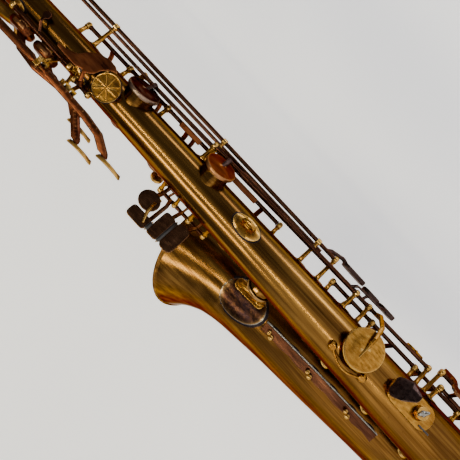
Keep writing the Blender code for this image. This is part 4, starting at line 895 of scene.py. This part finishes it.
def dress_pearls():
    """Finger pearls in their turned holders."""
    for node in ("B_key", "A_key", "G_key", "F_key", "E_key", "D_key"):
        centre, normal, radius = min(discs(node), key=lambda d: abs(d[2] - PEARL_R))
        holder, shine = Build(), Build()
        cup = [(-0.0042, radius * 0.80), (-0.0036, radius * 0.95), (-0.0008, radius + 0.0002),
               (0.0004, radius + 0.0002), (0.0006, radius - 0.0003), (0.0003, radius - 0.0010),
               (-0.0030, radius - 0.0012)]
        crown = [(-0.001, radius - 0.0014), (0.0003, radius - 0.0014), (0.0011, radius * 0.66),
                 (0.0015, radius * 0.33), (0.0016, 0.0)]
        holder.turned(cup, centre, normal, 40)
        shine.turned(crown, centre, normal, 40)
        holder.piece(node + "_pearl_holder", GOLD, BODY_OF[node], 40)
        shine.piece(node + "_pearl", PEARL, BODY_OF[node], 60)


dress_pearls()


def dress_thumb_rest():
    """The left thumb rest: a shallow dish with rays pressed into it."""
    centre, normal, radius = discs("thumb_rest")[0]
    x, y = frame_of(normal)
    build = Build()
    rings = []
    middle, body_radius, _ = BODY.at(centre)
    base = (centre - middle).length - body_radius
    side = [(-base - 0.001, radius * 0.62), (-0.0042, radius * 0.64), (-0.0036, radius * 0.98),
            (-0.0024, radius + 0.0006), (-0.0006, radius + 0.0006), (0.0002, radius)]
    turns = round_turns(192)
    for h, r in side:
        rings.append([centre + normal * h + (x * math.cos(t) + y * math.sin(t)) * r for t in turns])
    for part in (0.955, 0.92, 0.8, 0.65, 0.5, 0.35, 0.2, 0.08):
        ring = []
        for t in turns:
            off = abs((t * 4 / math.pi + 0.5) % 1.0 - 0.5)
            ray = max(0.0, 1 - off * part / 0.045) if part < 0.94 else 0.0
            h = -0.0003 + 0.0003 * (1 - part ** 2) + 0.00045 * ray
            ring.append(centre + normal * h + (x * math.cos(t) + y * math.sin(t)) * radius * part)
        rings.append(ring)
    build.rings(rings, True, True)
    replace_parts(build.piece("thumb_rest_disc", GOLD, ROOT, 60, SLOT_OF["thumb_rest"]), "thumb_rest")
    # The bead round the dish is near-black: painted shade at the dish's edge.
    rim = Build()
    bead_r = 0.0007
    section = [(-0.0012 + bead_r * math.sin(t), radius + bead_r * (1 + math.cos(t))) for t in round_turns(12)]
    rim.turned(section, centre, normal, 96, loop=True)
    rim.piece("thumb_rest_rim", PAINTED_SHADE, ROOT, 60)


def dress_strap_ring():
    """The strap's eye: a round wire ring on an oval plate."""
    low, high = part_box("strap_ring")
    middle = (low + high) / 2
    line = Vector((AXIS.x, AXIS.y, middle.z))
    out = (middle - line).normalized()
    face = line + out * 0.06
    eye = line + out * (high.y - AXIS.y - 0.0100)
    build, dark = Build(), Build()
    oval = [(0.0190 * math.cos(t), 0.0110 * math.sin(t)) for t in round_turns(48)]
    build.patch(BODY, face, oval, 0.0002, 0.0022)
    # A dark oval a little larger than the plate: painted shade round its edge.
    dark.patch(BODY, face, [(a * 1.10, b * 1.18) for a, b in oval], 0.0, 0.0004)
    turns = [*round_turns(48), 2 * math.pi]
    wire = [eye + (UP * math.cos(t) + out * math.sin(t)) * 0.0076 for t in turns]
    build.pipe(wire, [0.0023] * len(wire), 20)
    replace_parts(build.piece("strap_eye", GOLD, ROOT, 40, SLOT_OF["strap_ring"]), "strap_ring")
    dark.piece("strap_eye_shade", PAINTED_SHADE, ROOT, 40)


def facing_of(node):
    """Where a fitting sits on the bell: the bell's centre there, the way out and the bell's direction."""
    middle = centre_of(node)
    centre, _, along = BELL.at(middle)
    out = middle - centre
    out = (out - along * out.dot(along)).normalized()
    return centre, out, along


def dress_rib():
    """The flat rib on the bell: a dark strip on feet with leaves of painted shade, paired balls and a bright
    edge.
    """
    centre, out, along = facing_of("bell_key_rib")
    low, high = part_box("bell_key_rib")
    across = along.cross(out).normalized()
    reach = (high.z - low.z) / 2
    parts = [-1 + k / 12 for k in range(25)]
    half, rise, thick = 0.0060, 0.0064, 0.0022

    def at(part, side, lift):
        c, r, _ = BELL.at(centre + along * reach * part)
        return c + out * (r + lift) + across * side

    strip, edge, feet, balls, shade_leaves = (Build() for _ in range(5))
    rows = []
    for part in parts:
        scoop = 0.0010 * math.cos(part * math.pi * 6)
        rows.append([at(part, -half - scoop, rise), at(part, half, rise), at(part, half, rise + thick),
                     at(part, -half - scoop, rise + thick)])
    strip.rings(rows, True, True)
    edge.pipe([at(part, half + 0.0009, 0.0070) for part in parts], [0.0011] * len(parts), 12)
    leaf = [(0.0130 * math.cos(t), 0.0052 * math.sin(t) * (1 - 0.35 * math.cos(t))) for t in round_turns(32)]
    for part in (-0.86, -0.52, -0.17, 0.17, 0.52, 0.86):
        foot = at(part, 0, 0)
        # Dark leaves beside each foot: painted shade.
        shade_leaves.patch(BELL, at(part, half * 0.55, 0), leaf, 0.0001, 0.0007)
        feet.pipe([foot - out * 0.001, foot + out * 0.0072], [0.0034, 0.0026], 20)
    for part in (-0.52, 0.17, 0.86):
        for shift, size in ((-0.028, 0.0036), (0.028, 0.0031)):
            place = at(part + shift, -half * 0.35 + shift * 0.06, rise + thick)
            knob = [(0, 0.0020), (0.0030, 0.0016), (0.0038, size * 0.72), (0.0052, size),
                    (0.0066, size * 0.92), (0.0080, size * 0.45), (0.0083, 0)]
            balls.turned(knob, place, out, 24)
    made = strip.piece("rib_strip", ROD, ROOT, 35, SLOT_OF["bell_key_rib"], 0.0004)
    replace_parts(made, "bell_key_rib")
    edge.piece("rib_edge", STEEL, ROOT, 60)
    feet.piece("rib_feet", BRASS, ROOT, 40)
    balls.piece("rib_balls", GOLD, ROOT, 50)
    shade_leaves.piece("rib_shade_leaves", PAINTED_SHADE, ROOT, 40)


def dress_shield():
    """The brace's plate on the bell: heat-stained, with a bright seam round it and painted shade outside the
    seam.
    """
    low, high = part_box("bell_brace_plate")
    middle, half = (low + high) / 2, (high.z - low.z) / 2
    outline = [(half * 1.02 * math.cos(t) * (1.0 if math.cos(t) > 0 else 1.12), half * 0.86 * math.sin(t))
               for t in round_turns(72)]
    # The dark sheet outside the seam is painted shade round the plate.
    under = ("shield_shade_outline", PAINTED_SHADE, 1.14, 0.0003), ("shield_seam", STEEL, 1.03, 0.0009)
    for name, finish, scale, thick in under:
        build = Build()
        build.patch(BELL, middle, [(a * scale, b * scale) for a, b in outline], 0.0, thick)
        build.piece(name, finish, ROOT, 40)
    build = Build()
    build.patch(BELL, middle, outline, 0.0002, 0.0013)
    plate = build.piece("shield_plate", SHIELD, ROOT, 40, SLOT_OF["bell_brace_plate"])
    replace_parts(plate, "bell_brace_plate")


def touch_box(node):
    """The box of a little-finger touch: the lever's face nearest the player."""
    co = arrays(node)[0]
    co = co[co[:, 1] > co[:, 1].max() - 0.0008]
    return Vector(co.min(0)), Vector(co.max(0))


def dress_table():
    """Rollers between the little-finger touches, and the brass bar beside them."""
    rollers, pins, bar = Build(), Build(), Build()
    for upper, lower in (("low_B_lever", "low_Bb_lever"), ("low_C_sharp_lever", "low_B_lever")):
        a, b = touch_box(upper), touch_box(lower)
        x0, x1 = max(a[0].x, b[0].x) + 0.002, min(a[1].x, b[1].x) - 0.002
        place = Vector(((x0 + x1) / 2, a[1].y - 0.0006, (a[0].z + b[1].z) / 2))
        long = (x1 - x0) / 2
        pin = long + 0.0016
        barrel = [(-long, 0), (-long, 0.0021), (-long + 0.0006, 0.0025), (long - 0.0006, 0.0025),
                  (long, 0.0021), (long, 0)]
        rollers.turned(barrel, place, (1, 0, 0), 24)
        pins.turned([(-pin, 0), (-pin, 0.0010), (pin, 0.0010), (pin, 0)], place, (1, 0, 0), 16)
    c_low, c_high = touch_box("low_C_sharp_lever")
    start = Vector((c_low.x - 0.002, c_high.y + 0.0010, (c_low.z + c_high.z) / 2 - 0.0030))
    bar.pipe([start + Vector((0.012, 0, -0.006)), start, start + Vector((-0.014, -0.0016, 0.0020)),
              start + Vector((-0.024, -0.010, 0.0010))], [0.0016, 0.0024, 0.0022, 0.0018], 16)
    bar.piece("table_bar", GOLD, BODY_OF["low_C_sharp_lever"], 60)
    rollers.piece("table_rollers", RUBBER, BODY_OF["low_B_lever"], 50)
    pins.piece("roller_pins", GOLD, BODY_OF["low_B_lever"], 50)


def dress_blade():
    """The tapering ridge across the alternate F sharp cup."""
    centre, normal, radius = discs("trill_F_sharp_key")[0]
    up = -normal
    way = (PLAYER_RIGHT - up * PLAYER_RIGHT.dot(up)).normalized()
    side = up.cross(way)
    sections = ((-0.56, 0.0004, 0.0002), (-0.45, 0.0010, 0.0012), (-0.2, 0.0017, 0.0026),
                (0.1, 0.0022, 0.0036), (0.45, 0.0024, 0.0042), (0.8, 0.0022, 0.0042),
                (1.02, 0.0018, 0.0036), (1.14, 0.0010, 0.0024))
    build = Build()
    rows = []
    for part, wide, tall in sections:
        middle = centre + way * radius * part + up * (CUP_THICK + 0.0002)
        rows.append([middle + side * wide * math.cos(t) + up * tall * (0.35 + 0.75 * math.sin(t))
                     for t in round_turns(16)])
    build.rings(rows, True, True)
    build.piece("trill_ridge", GOLD, BODY_OF["trill_F_sharp_key"], 60)


def dress_hook_screw():
    """The wing screw of the thumb hook, and a black bar painted as the shade inside the slot of the hook's
    plate.
    """
    joint = JOINT["thumb_hook_screw"]
    point, axis = Vector(joint["pos_m"]), Vector(joint["axis"])
    face = point + axis * 0.0120
    wing, slot = Build(), Build()
    for side in (-1, 1):
        across = Vector((0.8, 0, 0.6)) * side
        bend = [face - axis * 0.001, face + axis * 0.0012 + across * 0.003,
                face + axis * 0.0022 + across * 0.0066]
        wing.pipe(bend, [0.0024, 0.0025, 0.0012], 20)
    wing.turned([(-0.001, 0.0040), (0.0010, 0.0036), (0.0022, 0.0022), (0.0024, 0)], face, axis, 28)
    wing.piece("hook_wing", STEEL, BODY_OF["thumb_hook_screw"], 60)
    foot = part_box("thumb_hook")[0].z
    front = BODY.at(Vector((point.x, point.y, foot)))[1] + AXIS.y + 0.0049
    middle = Vector((point.x + 0.0105, front, point.z - 0.0148))
    # A black bar on the plate's face: painted shade inside the slot.
    slot.block(middle, (0.0016, 0.0009, 0.0150), (1, 0, 0), UP)
    slot.piece("hook_slot_shade", RUBBER, ROOT, 40)


def dress_steels():
    """Steel hinge rods beside the longest key rod, held by the same cradles."""
    build = Build()
    inwards = AXIS - long_low
    inwards.z = 0
    inwards.normalize()
    for shift, start, end in ((0.0064, 0.03, 1.0), (0.0150, CRADLE_PARTS[1], CRADLE_PARTS[2])):
        a = long_low + (long_high - long_low) * start + inwards * shift
        b = long_low + (long_high - long_low) * end + inwards * shift
        build.pipe([a, a + (b - a) * 0.5, b], [ROD_R * 0.86] * 3, 20)
    build.piece("side_steels", ROD, ROOT, 50)


dress_thumb_rest()
dress_strap_ring()
dress_rib()
dress_shield()
dress_table()
dress_blade()
dress_hook_screw()
dress_steels()


# ---------------------------------------------------------------- stage

def stage_material(name, colour, one_sided=False):
    """Pale matt paint; a one-sided sheet lets the light and the camera through from behind."""
    g = Graph(name)
    soft = g.noise(3.0, detail=3)
    g.done(g.ramp(soft, ((0.3, tuple(c * 0.96 for c in colour)), (0.7, colour))), 0.9, 0.0)
    g.shader.inputs["Specular IOR Level"].default_value = 0.1
    g.shader.inputs["Emission Color"].default_value = (0.95, 0.96, 1.0, 1.0)
    g.shader.inputs["Emission Strength"].default_value = 0.57
    if one_sided:
        clear, choose = g.node("ShaderNodeBsdfTransparent"), g.node("ShaderNodeMixShader")
        side = g.node("ShaderNodeNewGeometry")
        g.link(side.outputs["Backfacing"], choose.inputs[0])
        g.link(g.shader.outputs[0], choose.inputs[1])
        g.link(clear.outputs[0], choose.inputs[2])
        g.link(choose.outputs[0], g.tree.nodes["Material Output"].inputs[0])
    return g.material


def sheet(name, finish, centre, x_dir, y_dir, half_x, half_y):
    mesh = bpy.data.meshes.new(name)
    x, y = Vector(x_dir) * half_x, Vector(y_dir) * half_y
    corners = [Vector(centre) + x * a + y * b for a, b in ((-1, -1), (1, -1), (1, 1), (-1, 1))]
    mesh.from_pydata(corners, [], [(0, 1, 2, 3)])
    mesh.materials.append(finish)
    placed(name, mesh)


def light(name, place, power, size, colour=(1, 1, 1)):
    """A soft box aimed at the middle of the body."""
    data = bpy.data.lights.new(name, "AREA")
    data.energy, data.color = power, colour
    data.shape, data.size, data.size_y = "RECTANGLE", *size
    made = placed(name, data)
    made.location = place
    made.rotation_mode = "QUATERNION"
    made.rotation_quaternion = (AIM - place).to_track_quat("-Z", "Y")


low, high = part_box("body_tube")
AIM = Vector((AXIS.x, AXIS.y, low.z + (high.z - low.z) * 0.528)) - PLAYER_RIGHT * 0.0048
floor_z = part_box("bow_guard")[0].z - 0.002
floor_paint = stage_material("floor_paint", (0.80, 0.78, 0.76))
wall_paint = stage_material("wall_paint", (0.92, 0.90, 0.89), True)
sheet("floor", floor_paint, (0, 0, floor_z), (1, 0, 0), (0, 1, 0), 6, 6)
sheet("wall", wall_paint, AIM - TOWARDS_PLAYER * 0.42 + UP * 0.6, PLAYER_RIGHT, UP, 3.0, 2.0)

world = bpy.data.worlds.new("studio")
bpy.context.scene.world = world
world.use_nodes = True
sky = world.node_tree.nodes["Background"].inputs
sky["Color"].default_value = (0.95, 0.96, 1.0, 1.0)
sky["Strength"].default_value = 0.22
light("streak", AIM + TOWARDS_PLAYER - PLAYER_RIGHT * 0.34 + UP * 0.1, 5, (0.03, 1.5), (1.0, 0.93, 0.64))
light("key", AIM + TOWARDS_PLAYER * 1.1 - PLAYER_RIGHT * 1.2 + UP * 0.5, 17, (0.16, 1.2), (1.0, 0.94, 0.68))
light("fill", AIM + TOWARDS_PLAYER * 0.6 + PLAYER_RIGHT * 1.6 + UP * 0.2, 11, (0.22, 1.6), (0.93, 0.96, 1.0))
light("front", AIM - TOWARDS_PLAYER * 1.8 - PLAYER_RIGHT * 0.9 + UP * 0.9, 14, (1.2, 1.6))

camera_data = bpy.data.cameras.new("camera")
camera_data.lens, camera_data.sensor_width = 43.75, 36
camera = placed("camera", camera_data)
bpy.context.scene.camera = camera
lean = math.radians(42.43)
right = PLAYER_RIGHT * math.cos(lean) - UP * math.sin(lean)
above = PLAYER_RIGHT * math.sin(lean) + UP * math.cos(lean)
camera.rotation_mode = "QUATERNION"
camera.rotation_quaternion = Matrix((right, above, TOWARDS_PLAYER)).transposed().to_quaternion()
camera.location = AIM - above * 0.0024 + TOWARDS_PLAYER * 0.65
